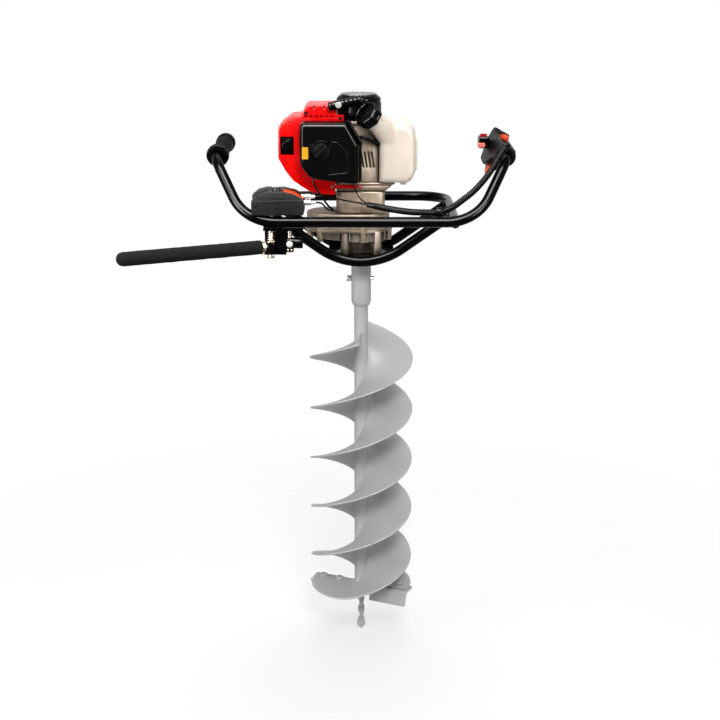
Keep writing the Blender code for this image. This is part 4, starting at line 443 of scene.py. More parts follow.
# %% [markdown]
# A tube bender makes straight runs joined by arcs. So a route is given by its corners and a bend radius
# for each, and the arc between two runs is centre + radius * (cos a, sin a) in the plane of the two runs.
# A cable bends freely, so its route is a smooth curve through points. Both are then read again in even
# steps, so that the faces along them are alike.

# %% Routes
def unit(vector):
    """The vector, or each row of an array of vectors, at length 1."""
    vector = np.asarray(vector, float)
    return vector / np.linalg.norm(vector, axis=-1, keepdims=True)


def distances(path):
    """The distance along a line to each of its points."""
    return np.concatenate([[0], np.cumsum(np.linalg.norm(np.diff(path, axis=0), axis=1))])


def route_through(corners, bends, step=0.004):
    """Corners joined by straight runs, with an arc of its bend radius at each inner corner, in even steps."""
    corners = np.asarray(corners, float)
    pieces = [corners[:1]]
    for back, here, ahead, bend in zip(corners, corners[1:], corners[2:], bends):
        to_back, to_ahead = unit(back - here), unit(ahead - here)
        half = np.arccos(np.clip(to_back @ to_ahead, -1, 1)) / 2
        centre = here + unit(to_back + to_ahead) * bend / np.sin(half)
        start = here + to_back * bend / np.tan(half) - centre
        side = here + to_ahead * bend / np.tan(half) - centre
        swing = np.pi - 2 * half
        t = np.linspace(0, 1, max(6, int(bend * swing / step)))[:, None]
        pieces.append(centre + (np.sin((1 - t) * swing) * start + np.sin(t * swing) * side) / np.sin(swing))
    pieces.append(corners[-1:])
    return even_steps(np.concatenate(pieces), step)


def even_steps(points, step):
    """The same line, read again at equal distances along it."""
    along = distances(points)
    wanted = np.linspace(0, along[-1], max(2, int(along[-1] / step) + 1))
    return np.stack([np.interp(wanted, along, points[:, k]) for k in range(3)], 1)


def flowing(points, steps=16):
    """A Catmull-Rom curve: between b and c it is (2b + (c-a)t + (2a-5b+4c-d)t^2 + (3b-a-3c+d)t^3) / 2."""
    p = np.asarray(points, float)
    p = np.concatenate([2 * p[:1] - p[1:2], p, 2 * p[-1:] - p[-2:-1]])
    t = (np.arange(steps) / steps)[None, :, None]
    a, b, c, d = (p[k:len(p) - 3 + k][:, None] for k in range(4))
    curve = (2 * b + (c - a) * t + (2 * a - 5 * b + 4 * c - d) * t**2 + (3 * b - a - 3 * c + d) * t**3) / 2
    return np.concatenate([curve.reshape(-1, 3), p[-2:-1]])


print("routes ready")

# %% [markdown]
# Round the route goes a circle in each cross plane. The planes must not twist along the way, so each
# plane's first axis is the last one's, less its part along the new direction. A curve object's own twist
# rules do the same, but they can't change the radius from point to point by a formula.

# %% Sweeps
ANY_SIDE = (0.31, 0.17, 0.93)


def around(count):
    """Even angles of one full turn."""
    return np.linspace(0, 2 * np.pi, count + 1)[:-1]


def planes(path):
    """For each point of a route two cross axes that don't twist along it."""
    ahead = unit(np.gradient(path, axis=0))
    first = np.zeros_like(path)
    first[0] = unit(np.cross(ahead[0], ANY_SIDE))
    for k in range(1, len(path)):
        first[k] = unit(first[k - 1] - ahead[k] * (first[k - 1] @ ahead[k]))
    return first, np.cross(ahead, first)


def sweep(path, radius, sides=32):
    """Point (i, a) = path(i) + radius(i) * (cos a * first(i) + sin a * second(i))."""
    first, second = planes(path)
    a = around(sides)[None, :, None]
    radius = np.broadcast_to(np.asarray(radius, float), len(path))[:, None, None]
    return path[:, None] + radius * (np.cos(a) * first[:, None] + np.sin(a) * second[:, None])


print("sweeps ready")

# %% [markdown]
# Grips, caps, bolts and washers are round, as if they came off a lathe. A profile of radius and distance
# is turned round an axis, and a wave may change the radius with the angle, for flats and flutes. A Screw
# modifier turns a profile too, but without such waves.

# %% Turned pieces
def rectangle(left, right, low, high):
    """Four corners, for an outline or for a ring's cross section."""
    return [(left, low), (right, low), (right, high), (left, high)]


def turned(profile, place=(0, 0, 0), axis=(0, 0, 1), sides=48, wave=None):
    """A profile of (radius, distance) turned round an axis: point (i, a) = place + distance(i) * axis +
    radius(i, a) * (cos a, sin a) in the cross plane. Wave changes the radius with the row and the angle."""
    profile = np.asarray(profile, float)
    axis = unit(axis)
    first = unit(np.cross(axis, (0, 0, 1) if abs(axis[2]) < 0.9 else (0, 1, 0)))
    second = np.cross(axis, first)
    a = around(sides)
    radius = np.repeat(profile[:, :1], sides, 1)
    if wave is not None:
        radius = radius + wave(profile[:, :1], profile[:, 1:], a[None, :])
    cross = np.cos(a)[:, None] * first + np.sin(a)[:, None] * second
    return np.asarray(place, float) + profile[:, 1][:, None, None] * axis + radius[:, :, None] * cross[None]


def softened(profile, radius, steps=4):
    """The profile with each corner replaced by a small arc, so that light runs over its edges."""
    profile = np.asarray(profile, float)
    rows = [profile[:1]]
    for back, here, ahead in zip(profile, profile[1:], profile[2:]):
        near, far = np.linalg.norm(back - here), np.linalg.norm(ahead - here)
        reach = min(radius, 0.45 * near, 0.45 * far)
        start = here + (back - here) * reach / max(near, 1e-9)
        end = here + (ahead - here) * reach / max(far, 1e-9)
        t = np.linspace(0, 1, steps + 1)[:, None]
        rows.append((1 - t) ** 2 * start + 2 * t * (1 - t) * here + t**2 * end)
    rows.append(profile[-1:])
    return np.concatenate(rows)


def lathe(name, profile, soft, slot_name, body="frame", stands_for=(), place=(0, 0, 0), axis=(0, 0, 1),
          sides=48, steps=4, wave=None, closed=False):
    """A softened profile turned into a piece. A closed profile joins its own ends and needs no caps."""
    rows = softened(profile, soft, steps)
    if closed:
        rows = np.concatenate([rows, rows[:1]])
    return surface(name, turned(rows, place, axis, sides, wave), slot_name, body, stands_for, caps=not closed)


print("turned pieces ready")

# %% [markdown]
# ## The tube frame
# One 19 mm steel tube makes the front run, both arms and the cores of the grips. A second makes the rear
# loop, and two V-shaped cradles hang from its legs and carry the gearbox. All are bent cold and welded.
# The routes repeat the solids' sizes, so the fine tubes lie exactly where the solids are.

# %% Sizes and routes of the frame
TUBE_R = 0.0095
FRAME_Z = -0.107
FRONT_Y = -0.157
FRONT_HALF_WIDTH = 0.207
LEG_X, REAR_Y = FRONT_HALF_WIDTH - 0.039, 0.157
CRADLE_Y, CRADLE_TILT = 0.067, math.radians(35)
GRIP_X, GRIP_Z, GRIP_LENGTH = 0.2595, 0.005, 0.120
GRIP_TOE, GRIP_RISE = math.radians(3), math.radians(6)
GRIP_RUN = (-0.025, 0.110)
ARM_BEND, CORNER_BEND, LOOP_BEND, CRADLE_BEND = 0.048, 0.085, 0.060, 0.130


def along_grip(side, distance):
    """A point of a grip's axis, at a distance from its operator end, and the axis' direction."""
    level = math.cos(GRIP_RISE)
    ahead = np.array([-side * math.sin(GRIP_TOE) * level, math.cos(GRIP_TOE) * level, math.sin(GRIP_RISE)])
    return np.array([side * GRIP_X, 0, GRIP_Z]) + ahead * (distance - GRIP_LENGTH / 2), ahead


def arm_corners(side):
    """The corners of one arm, from the front run back to the straight run inside the grip."""
    return [(side * FRONT_HALF_WIDTH, FRONT_Y, FRAME_Z)] + [along_grip(side, end)[0] for end in GRIP_RUN]


leg_starts = [(side * LEG_X, FRONT_Y + 0.006, FRAME_Z) for side in (-1, 1)]
apex_z = FRAME_Z - LEG_X * math.tan(CRADLE_TILT)
routes = {
    "frame_bar": route_through(arm_corners(-1)[::-1] + arm_corners(1),
                               [ARM_BEND, CORNER_BEND, CORNER_BEND, ARM_BEND]),
    "rear_loop": route_through([leg_starts[0], (-LEG_X, REAR_Y, FRAME_Z), (LEG_X, REAR_Y, FRAME_Z),
                                leg_starts[1]], [LOOP_BEND, LOOP_BEND]),
}
for name, y in (("cradle_f", -CRADLE_Y), ("cradle_r", CRADLE_Y)):
    routes[name] = route_through([(-LEG_X, y, FRAME_Z), (0, y, apex_z), (LEG_X, y, FRAME_Z)], [CRADLE_BEND])
solids = ("handlebar_tube", "rear_frame_tube", "front_cradle_tube", "rear_cradle_tube")
for (name, route), solid in zip(routes.items(), solids):
    surface(name, sweep(route, TUBE_R, 40), "black_paint", "frame", [solid])
print("tube in the frame:", round(sum(distances(route)[-1] for route in routes.values()), 2), "m")

# %% [markdown]
# ## Weld beads
# Where one tube meets another, the weld lies along the line that both surfaces share. A point of the
# joining tube is start + t * direction + r * (cos a, sin a), and t follows from its distance to the other
# tube's axis, which is a quadratic. A Boolean would find the same line but leave a ragged mesh.

# %% Beads round the joints
BEAD_R, BEAD_STEPS, BEAD_SCALES = 0.0021, 96, 22


def weld_bead(name, start, direction, main_axis):
    """The shared line of a joining tube and a main tube of the same radius, as a ring whose thickness is
    bead * (1 + 0.1 sin(22 turns)), like the scales of a hand weld."""
    direction, main_axis = unit(direction), np.asarray(main_axis, float)
    u = unit(np.cross(direction, main_axis))
    a = around(BEAD_STEPS)[:, None]
    ring = TUBE_R * 0.999 * (np.cos(a) * u + np.sin(a) * np.cross(direction, u))

    def across(w):
        return w - (w @ main_axis)[..., None] * main_axis

    d, w = across(direction[None]), across(ring)
    aa, bb, cc = (d * d).sum(-1), 2 * (d * w).sum(-1), (w * w).sum(-1) - TUBE_R**2
    t = (-bb + np.sqrt(np.maximum(bb**2 - 4 * aa * cc, 0))) / (2 * aa)
    line = np.asarray(start, float) + ring + t[:, None] * direction
    ahead = unit(np.roll(line, -1, 0) - np.roll(line, 1, 0))
    out = unit(ring - ahead * (ring * ahead).sum(1)[:, None])
    b = around(10)[None, :, None]
    ripple = BEAD_R * (1 + 0.10 * np.sin(around(BEAD_STEPS) * BEAD_SCALES))[:, None, None]
    grid = line[:, None] + ripple * (np.cos(b) * out[:, None] + np.sin(b) * np.cross(ahead, out)[:, None])
    return surface(name, grid, "black_paint", ring=True)


for side, hand in ((-1, "l"), (1, "r")):
    weld_bead(f"weld_leg_{hand}", (side * LEG_X, FRONT_Y, FRAME_Z), (0, 1, 0), (1, 0, 0))
    down_the_tube = (-side * math.cos(CRADLE_TILT), 0, -math.sin(CRADLE_TILT))
    for y, tag in ((-CRADLE_Y, "f"), (CRADLE_Y, "r")):
        weld_bead(f"weld_cradle_{tag}{hand}", (side * LEG_X, y, FRAME_Z), down_the_tube, (0, 1, 0))
print("weld beads: 6")

# %% [markdown]
# ## The left grip
# A hand grip is one moulding: a thick flange that keeps the hand off the arm, a body with shallow rings
# for hold, and a second collar at the far end. It is a profile of radius against distance turned round the
# tube. The rings are a small wave on the body's radius, deeper in rubber than a bump texture would show.

# %% Left grip
base, ahead = along_grip(-1, 0)
GRIP_R, FLANGE_R = 0.0158, 0.0208
BORE_R, COLLAR_R, RING_PITCH, RING_DEPTH = TUBE_R + 0.0002, GRIP_R + 0.0025, 0.0045, 0.00028
near_rows = [(BORE_R, 0.004), (BORE_R, 0.0), (FLANGE_R - 0.002, 0), (FLANGE_R, 0.002), (FLANGE_R, 0.010),
             (FLANGE_R - 0.003, 0.013), (GRIP_R, 0.018)]
s = np.linspace(0.020, GRIP_LENGTH - 0.022, 140)
fade = np.clip(np.minimum((s - 0.026) / 0.004, (GRIP_LENGTH - 0.030 - s) / 0.004), 0, 1)
body_rows = np.stack([GRIP_R - RING_DEPTH * fade * (1 - np.cos(2 * np.pi * s / RING_PITCH)), s], 1)
end_rows = [(GRIP_R, GRIP_LENGTH - 0.020), (COLLAR_R, GRIP_LENGTH - 0.016), (COLLAR_R, GRIP_LENGTH - 0.005),
            (GRIP_R, GRIP_LENGTH - 0.001), (GRIP_R - 0.004, GRIP_LENGTH), (0.0004, GRIP_LENGTH)]
profile = np.concatenate([softened(near_rows, 0.0012), body_rows, softened(end_rows, 0.0012)])
surface("hand_grip", turned(profile, base, ahead, 64), "rubber", "frame", ["left_grip"])
print("grip rows:", len(profile))

# %% [markdown]
# ## Conduit, cables, lead and hose
# The throttle cable and the stop switch's wire run together in a ribbed conduit from the right handle to
# the engine. Its ribs are rings, so each cross section's radius follows the distance along the route. The
# crest takes the first part of each pitch and the groove the rest. A bump texture would leave the
# outline smooth, where the real one is notched. The routes repeat the solids' points.

# %% Ribbed conduit
CONDUIT_R, ROOT_R, PLAIN_END, RIBS = 0.0060, 0.0051, 0.012, 88
CREST_SHARE, FLANK_SHARE = 0.60, 0.14
conduit_points = [
    (0.2665, -0.0790, 0.0205), (0.2570, -0.0890, 0.0125), (0.2460, -0.0985, -0.0030),
    (0.2340, -0.1075, -0.0210), (0.2190, -0.1180, -0.0390), (0.2000, -0.1290, -0.0570),
    (0.1800, -0.1390, -0.0710), (0.1600, -0.1500, -0.0830), (0.1386, -0.1545, -0.0893),
    (0.1150, -0.1500, -0.0905), (0.0930, -0.1380, -0.0920), (0.0700, -0.1150, -0.0930),
    (0.0480, -0.0920, -0.0930), (0.0280, -0.0760, -0.0915), (0.0120, -0.0680, -0.0895)]


def length_of(path):
    """The length of a line in metres."""
    return float(distances(path)[-1])


def ribbed(path, crest, root, pitch, plain):
    """Radius = root + (crest - root) * a soft square wave of the distance, and root on the plain ends."""
    s = distances(path)
    phase = (s - plain) / pitch % 1
    rise = np.clip(np.minimum(phase, CREST_SHARE - phase) / FLANK_SHARE, 0, 1)
    rise = rise * rise * (3 - 2 * rise)
    inside = (s > plain) & (s < s[-1] - plain)
    return root + (crest - root) * rise * inside


conduit_path = even_steps(flowing(conduit_points, 24), 0.00075)
conduit_length = length_of(conduit_path)
rib_pitch = (conduit_length - 2 * PLAIN_END) / RIBS
conduit_grid = sweep(conduit_path, ribbed(conduit_path, CONDUIT_R, ROOT_R, rib_pitch, PLAIN_END), 26)
conduit = surface("throttle_conduit", conduit_grid, "black_matte", "frame", ["conduit"])
print("conduit", round(1000 * conduit_length), "mm")

# %% [markdown]
# The three black cables are plain tubes. A brake cable leaves its adjuster straight, as a Bowden cable has
# to. One ends in the conduit's grommet and one at the clutch housing, and the throttle cable runs from the
# grommet to the carburettor. The fuel hose is thicker and of rubber.

# %% Plain cords
def plain_cord(name, points, radius, stands_for=(), slot_name="black_matte"):
    """A tube of one radius along a Catmull-Rom curve. Its length is printed."""
    path = even_steps(flowing(points, 20), 0.0015)
    made = surface(name, sweep(path, radius, 16), slot_name, "frame", stands_for)
    print(name, round(1000 * length_of(path)), "mm")


CABLE_R, THROTTLE_R, HOSE_R = 0.0016, 0.0013, 0.0034
upper, lower = np.array([-0.1065, -0.120, -0.0667]), np.array([-0.1065, -0.120, -0.0774])
half_run, full_run = np.array([0.013, 0, 0]), np.array([0.026, 0, 0])
upper_points = [upper, upper + half_run, upper + full_run, upper + full_run + (0.012, 0.006, 0),
                (-0.055, -0.094, -0.072), (-0.030, -0.078, -0.080), (-0.004, -0.0690, -0.0860),
                (0.0115, -0.0680, -0.0893)]
lower_points = [lower, lower + half_run, lower + full_run, lower + full_run + (0.010, 0.006, -0.003),
                (-0.062, -0.090, -0.094), (-0.050, -0.062, -0.1020), (-0.0495, -0.0475, -0.1030)]
throttle_points = [(0.0125, -0.0655, -0.0893), (-0.0040, -0.0640, -0.0760), (-0.0130, -0.0640, -0.0560),
                   (-0.0180, -0.0620, -0.0372)]
hose_points = [(0.0405, -0.0505, 0.0205), (0.0305, -0.0505, 0.0205), (0.0160, -0.0560, 0.0272),
               (0.0010, -0.0610, 0.0325), (-0.0120, -0.0620, 0.0300), (-0.0190, -0.0620, 0.0220),
               (-0.0200, -0.0620, 0.0135)]
plain_cord("brake_wire_upper", upper_points, CABLE_R, ["brake_cable_upper"])
plain_cord("brake_wire_lower", lower_points, CABLE_R, ["brake_cable_lower"])
plain_cord("throttle_wire", throttle_points, THROTTLE_R, ["throttle_cable"])
plain_cord("fuel_line", hose_points, HOSE_R, ["fuel_hose"], "rubber")

# %% [markdown]
# ## The drilling bit
# Two steel ribbons wind round one tube, half a turn apart, and lift the soil. Each ribbon is a helicoid:
# a radial line that turns and sinks evenly. Its lowest part is pressed flat into a shelf, which a cutter
# is bolted to. A Screw modifier would sweep the line, but it can't flatten the end or round the rim, so
# the ribbon is a grid of cross sections, each a thin closed loop with a round outer edge.

# %% Flights
BIT_R, BIT_LEAD, BIT_TURNS, BIT_TUBE_R = 0.100, 0.2034, 2.54, 0.0133
FLIGHT_TOP_Z, FLIGHT_THICK = -0.3465, 0.0034
BLADE_Z = FLIGHT_TOP_Z - BIT_LEAD * BIT_TURNS
BLADE_LEAD = math.radians(155)
SHELF_Z, SHELF_SOFTNESS = BLADE_Z - 0.0016, 0.004
SINK = BIT_LEAD / (2 * math.pi)
RIM_STEPS = 7


def flight_grid(phase, steps=420, across=22):
    """Middle line S(t, r) = (r cos a, r sin a, z), with a = phase - t and z = top - lead * t / 2 pi until it
    flattens at the shelf. The loop round it adds +-half thickness along the normal (c sin a, -c cos a, r)."""
    last = phase - (BLADE_LEAD - (0 if phase < math.pi else math.pi))
    last += 2 * math.pi * math.ceil((2 * math.pi * BIT_TURNS - last) / (2 * math.pi))
    t = np.linspace(0, last, steps)
    over = (FLIGHT_TOP_Z - SINK * t - SHELF_Z) / SHELF_SOFTNESS
    z = SHELF_Z + SHELF_SOFTNESS * np.logaddexp(0, over)
    slope = (SINK / (1 + np.exp(-np.clip(over, -40, 40))))[:, None]
    inner = BIT_TUBE_R - 0.0015
    outer = inner + (BIT_R - 0.0002 - inner) * (0.90 + 0.10 * np.clip(t / 0.10, 0, 1) ** 0.5)
    r = inner + (outer[:, None] - inner - FLIGHT_THICK / 2) * np.linspace(0, 1, across)[None] ** 0.85
    bend = np.linspace(np.pi / 2, -np.pi / 2, RIM_STEPS)[1:-1]
    rim = np.broadcast_to(FLIGHT_THICK / 2 * np.cos(bend), (steps, RIM_STEPS - 2))
    ring_r = np.concatenate([r, r[:, -1:] + rim, r[:, ::-1]], 1)
    half = FLIGHT_THICK / 2 * np.concatenate([np.ones(across), np.sin(bend), -np.ones(across)])
    a = (phase - t)[:, None]
    scale = np.hypot(slope, ring_r)
    x = ring_r * np.cos(a) + half * slope * np.sin(a) / scale
    y = ring_r * np.sin(a) - half * slope * np.cos(a) / scale
    return np.stack([x, y, z[:, None] + half * ring_r / scale], -1)


PHASES = {"first": math.pi / 2, "second": 3 * math.pi / 2}
for name, phase in PHASES.items():
    surface(f"flight_{name}", flight_grid(phase), "grey_paint", "auger", ["auger_bit"])
lathe("bit_tube", rectangle(0.0004, BIT_TUBE_R, BLADE_Z - 0.007, -0.2705), 0.001, "grey_paint", "auger",
      ["auger_bit"], sides=64)
print("flights end at z", round(BLADE_Z, 4))

# %% [markdown]
# The sleeve that takes the gearbox shaft is turned from bar, with a rounded foot where it is welded to
# the tube. A fillet weld also runs along the foot of each ribbon. It is a thin tube laid in the corner
# between ribbon and tube, with the small waves of hand welding.

# %% Sleeve and flight welds
SLEEVE_TOP_Z, SLEEVE_LOW_Z, SLEEVE_R, SLEEVE_BORE_R = -0.1959, -0.2939, 0.0188, 0.0102
outer_rows = softened([(SLEEVE_BORE_R, SLEEVE_TOP_Z), (SLEEVE_R, SLEEVE_TOP_Z),
                       (SLEEVE_R, SLEEVE_LOW_Z + 0.008), (SLEEVE_R - 0.0035, SLEEVE_LOW_Z + 0.0005),
                       (BIT_TUBE_R - 0.0005, SLEEVE_LOW_Z)], 0.0022, 6)
bore_rows = [(BIT_TUBE_R - 0.0008, SLEEVE_LOW_Z + 0.020), (SLEEVE_BORE_R, SLEEVE_LOW_Z + 0.020),
             (SLEEVE_BORE_R, SLEEVE_TOP_Z)]
surface("sleeve", turned(np.concatenate([outer_rows, bore_rows]), sides=72), "grey_paint", "auger",
        ["auger_sleeve"], caps=False)
WELD_R, WELD_RIPPLE, WELD_SCALES = 0.0013, 0.00022, 46
t = np.linspace(0.05, 2 * math.pi * BIT_TURNS - 0.5, 460)
bead = WELD_R + WELD_RIPPLE * np.sin(t * WELD_SCALES)
for name, phase in PHASES.items():
    for side, tag in ((1, "over"), (-1, "under")):
        x, y = ((BIT_TUBE_R + 0.0006) * turn(phase - t) for turn in (np.cos, np.sin))
        run = np.stack([x, y, FLIGHT_TOP_Z - SINK * t + side * 0.0023], 1)
        surface(f"weld_run_{name}_{tag}", sweep(run, bead, 8), "grey_paint", "auger")
print("welds along the ribbons:", 4)

# %% [markdown]
# The pilot is a twisted flat bar that finds the hole's middle, so its cross section is one rounded oblong
# that turns with the height. A bar with a Simple Deform twist would come close, but not widen at the tip.

# %% Twisted pilot
PILOT_TOP_Z, PILOT_LOW_Z, PILOT_NECK_R = BLADE_Z - 0.0072, BLADE_Z - 0.1038, 0.0092
PILOT_TWIST = math.radians(500)


def pilot_grid(rows=150, columns=28):
    """Cross section = a rounded oblong of half sizes u, v, with x = u |cos a|^0.5 and y = v |sin a|^0.5. It
    turns 500 degrees on its way down, from a round neck to a tip that swells and then narrows."""
    s = np.linspace(0, 1, rows)
    a = around(columns)
    z = PILOT_TOP_Z - s * (PILOT_TOP_Z - PILOT_LOW_Z)
    deep = np.clip((s - 0.80) / 0.20, 0, 1)
    swell = 0.0016 * np.sin(np.pi * np.clip(deep * 1.25, 0, 1))
    swell -= 0.0052 * np.clip((deep - 0.55) / 0.45, 0, 1) ** 2
    neck = np.clip((0.10 - s) / 0.04, 0, 1)[:, None]
    u, v = (0.0066 + swell)[:, None], (0.0033 - 0.0010 * deep)[:, None]
    u, v = u + (PILOT_NECK_R - u) * neck, v + (PILOT_NECK_R - v) * neck
    x, y = (size * (np.sign(wave) * np.abs(wave) ** 0.5 * (1 - neck) + wave * neck)
            for size, wave in ((u, np.cos(a)), (v, np.sin(a))))
    turn = PILOT_TWIST * (1 - np.clip((s - 0.10) / 0.72, 0, 1)[:, None])
    return np.stack([x * np.cos(turn) - y * np.sin(turn), x * np.sin(turn) + y * np.cos(turn),
                     np.broadcast_to(z[:, None], x.shape)], -1)


surface("pilot", pilot_grid(), "grey_paint", "auger", ["pilot_point"])
print("pilot turns:", round(PILOT_TWIST / (2 * math.pi), 2))

# %% [markdown]
# Two bolts on each shelf hold the cutter that hangs under its edge. A forged hexagon head has a round
# chamfer, which cuts its corners in arcs. So the head is turned like a cap, with six flats as its wave.

# %% Bolt heads
def hex_head(name, centre, across, height, slot_name, body="frame", axis=(0, 0, 1), washer=0.0, turn=0.0):
    """A hexagon bolt head: radius(a) = across / 2 / cos(distance of a from the nearest flat's middle), and a
    top edge chamfered by a cone. With a washer, a flat ring lies under it."""
    def six(radius, distance, a):
        flat = (a + turn) % (math.pi / 3) - math.pi / 6
        cone = 1.11 - 1.6 * np.clip((distance - height * 0.78) / height, 0, 1)
        return np.where(radius > 0.30 * across, across / 2 * np.minimum(1 / np.cos(flat), cone) - radius, 0.0)

    if washer:
        ring = rectangle(0.0002, washer, 0, 0.0012)
        lathe(name + "_washer", ring, 0.0003, slot_name, body, (), centre, axis, 28)
        centre = np.asarray(centre, float) + np.asarray(axis, float) * 0.0011
    rows = [(across * 0.5, 0), (across * 0.5, height * 0.78), (across * 0.5, height),
            (across * 0.26, height * 0.985), (0.0002, height * 0.985)]
    surface(name, turned(rows, centre, axis, 36, six), slot_name, body)


for tag, a in (("a", BLADE_LEAD), ("b", BLADE_LEAD - math.pi)):
    for k, out in enumerate((0.042, 0.078)):
        x, y = out * math.cos(a) - 0.013 * math.sin(a), out * math.sin(a) + 0.013 * math.cos(a)
        at = (x, y, BLADE_Z + 0.0001)
        hex_head(f"cutter_bolt_{tag}{k}", at, 0.0125, 0.0055, "grey_paint", "auger", washer=0.0086, turn=0.4)
print("cutter bolts: 4")

# %% [markdown]
# ## Moulded shells
# The filter cover and the tank are moulded with large, even radii. An outline is given by its corners and
# their radii. Every row of the grid is that outline moved inwards by some amount, at some depth, so a
# quarter circle of rows rounds the edge, and a small step back makes an engraved line. The inset of a
# convex outline moves each side along its normal, so the corners are the crossings of the moved sides.

# %% Rounded outlines
LEAST_RADIUS = 0.0008


def outline_inset(corners, radii, inset=0.0, per_corner=9):
    """Crossings of the sides moved in by inset, each corner rounded with radius r - inset. A corner's arc
    is a circle's part between the two points where it touches the sides."""
    p = np.asarray(corners, float)
    along = unit(np.roll(p, -1, 0) - p)
    area = (p[:, 0] * np.roll(p[:, 1], -1) - np.roll(p[:, 0], -1) * p[:, 1]).sum()
    normal = np.sign(area) * np.stack([-along[:, 1], along[:, 0]], 1)
    moved = p + normal * inset
    d0, d1 = np.roll(along, 1, 0), along
    q0 = np.roll(moved, 1, 0)
    cross = d0[:, 0] * d1[:, 1] - d0[:, 1] * d1[:, 0]
    t = ((moved - q0)[:, 0] * d1[:, 1] - (moved - q0)[:, 1] * d1[:, 0]) / cross
    corner = q0 + d0 * t[:, None]
    radius = np.maximum(np.asarray(radii, float) - inset, LEAST_RADIUS)
    turn = np.arccos(np.clip((d0 * d1).sum(1), -1, 1))
    reach = radius * np.tan(turn / 2)
    start = corner - d0 * reach[:, None]
    inward = np.sign(area) * np.stack([-d0[:, 1], d0[:, 0]], 1)
    centre = start + inward * radius[:, None]
    u = np.linspace(0, 1, per_corner)[None]
    spin = np.sign(cross)[:, None] * turn[:, None] * u
    arm = (start - centre)[:, None]
    c, s = np.cos(spin)[..., None], np.sin(spin)[..., None]
    swung = np.concatenate([arm[..., :1] * c - arm[..., 1:] * s, arm[..., :1] * s + arm[..., 1:] * c], -1)
    return (centre[:, None] + swung).reshape(-1, 2)


print("outlines ready")

# %% [markdown]
# A moulding is a stack of such outlines. The rows give how far each one is moved in and how deep it lies,
# so one list of pairs describes a whole edge. A Bevel would round all edges alike.

# %% Moulded pieces
def moulded(corners, radii, rows, per_corner=9):
    """Stacks insets of an outline in x and z: row k is moved in by rows[k][0] and lies at y = rows[k][1]."""
    layers = []
    for inset, depth in rows:
        flat = outline_inset(corners, radii, inset, per_corner)
        layers.append(np.stack([flat[:, 0], np.full(len(flat), depth), flat[:, 1]], 1))
    return np.array(layers)


def slab(name, corners, radius, rows, slot_name, per_corner=5, stands_for=()):
    """A piece on the frame from a moulded outline whose corners share one radius."""
    points = moulded(corners, [radius] * len(corners), rows, per_corner)
    return surface(name, points, slot_name, "frame", stands_for)


def quarter(radius, from_inset, from_depth, sign, steps):
    """Rows of a rounded edge: inset = r (1 - cos a), depth = r sin a, for a from 0 to 90 degrees."""
    a = np.linspace(0, math.pi / 2, steps)
    return [(from_inset + radius * (1 - math.cos(x)), from_depth + sign * radius * math.sin(x)) for x in a]


print("moulded pieces ready")

# %% [markdown]
# ## The filter cover
# The cover is a deep gloss black lid. Its front face has a broad round rim, a fine raised line, and a round
# hollow in which the quarter-turn knob sits. A blank yellow plate is set into its left side.

# %% Filter cover
COVER = [(-0.1115, 0.0645), (-0.0255, 0.0645), (-0.0030, 0.0245), (-0.0030, -0.0470), (-0.0168, -0.0475),
         (-0.0920, -0.0385), (-0.1115, -0.0120)]
COVER_RADII = [0.010, 0.005, 0.005, 0.004, 0.008, 0.026, 0.024]
BACK_Y, FACE_Y = -0.0782, -0.1118
LINE_Y = FACE_Y + 0.0001
FORWARD = (0, -1, 0)
rows = [(0.0025, BACK_Y), (0.0, BACK_Y), (0.0, BACK_Y - 0.004), (0.0004, BACK_Y - 0.0046),
        (0.0004, BACK_Y - 0.0052), (0.0, BACK_Y - 0.006)]
rows += [(0.0002 + k * 0.0003, BACK_Y - 0.006 - k * 0.004) for k in range(1, 5)]
rows += quarter(0.0080, 0.0016, FACE_Y + 0.0082, -1, 14) + [(0.0105, LINE_Y), (0.0114, FACE_Y + 0.0003)]
surface("filter_lid", moulded(COVER, COVER_RADII, rows), "black_gloss", "frame", ["filter_cover"])
line_corners = [(x, LINE_Y, z) for x, z in ((-0.0530, 0.0300), (-0.0417, 0.0282), (-0.0235, 0.0080),
                                            (-0.0235, -0.0255), (-0.0580, -0.0290))]
line = route_through(line_corners, [0.004, 0.006, 0.005], 0.001)
surface("cover_line", sweep(line, 0.0011, 12), "black_gloss")
KNOB_X, KNOB_Z, MARK_R = -0.071, 0.0127, 0.0225
hollow = [(0.0150, 0.0), (0.0175, 0.0), (0.0180, 0.0010), (0.0193, 0.0012), (0.0200, 0.0), (0.0200, -0.0012),
          (0.0150, -0.0012)]
lathe("knob_ring", hollow, 0.0004, "black_gloss", place=(KNOB_X, FACE_Y + 0.0006, KNOB_Z), axis=FORWARD,
      sides=64, closed=True)
for k in range(3):
    a = math.radians(-90 + 120 * k)
    x, z = KNOB_X + MARK_R * math.cos(a), KNOB_Z + MARK_R * math.sin(a)
    mark = [(x + 0.0028 * math.cos(a + s), z + 0.0028 * math.sin(a + s))
            for s in (math.pi, math.pi / 3, -math.pi / 3)]
    surface(f"knob_mark_{k}", moulded(mark, [0.0004] * 3, [(0, FACE_Y + 0.0014), (0, FACE_Y - 0.0002)], 4),
            "black_gloss", edge=0.0002)
slab("blank_plate", rectangle(-0.1062, -0.0948, -0.0008, 0.0208), 0.0014,
     [(0, FACE_Y + 0.003), (0, FACE_Y - 0.0002), (0.0002, FACE_Y - 0.0004), (0.0009, FACE_Y - 0.0004),
      (0.0010, FACE_Y - 0.0002)], "yellow_plate", 6)
print("filter cover:", round((COVER[2][0] - COVER[0][0]) * 1000), "mm wide")
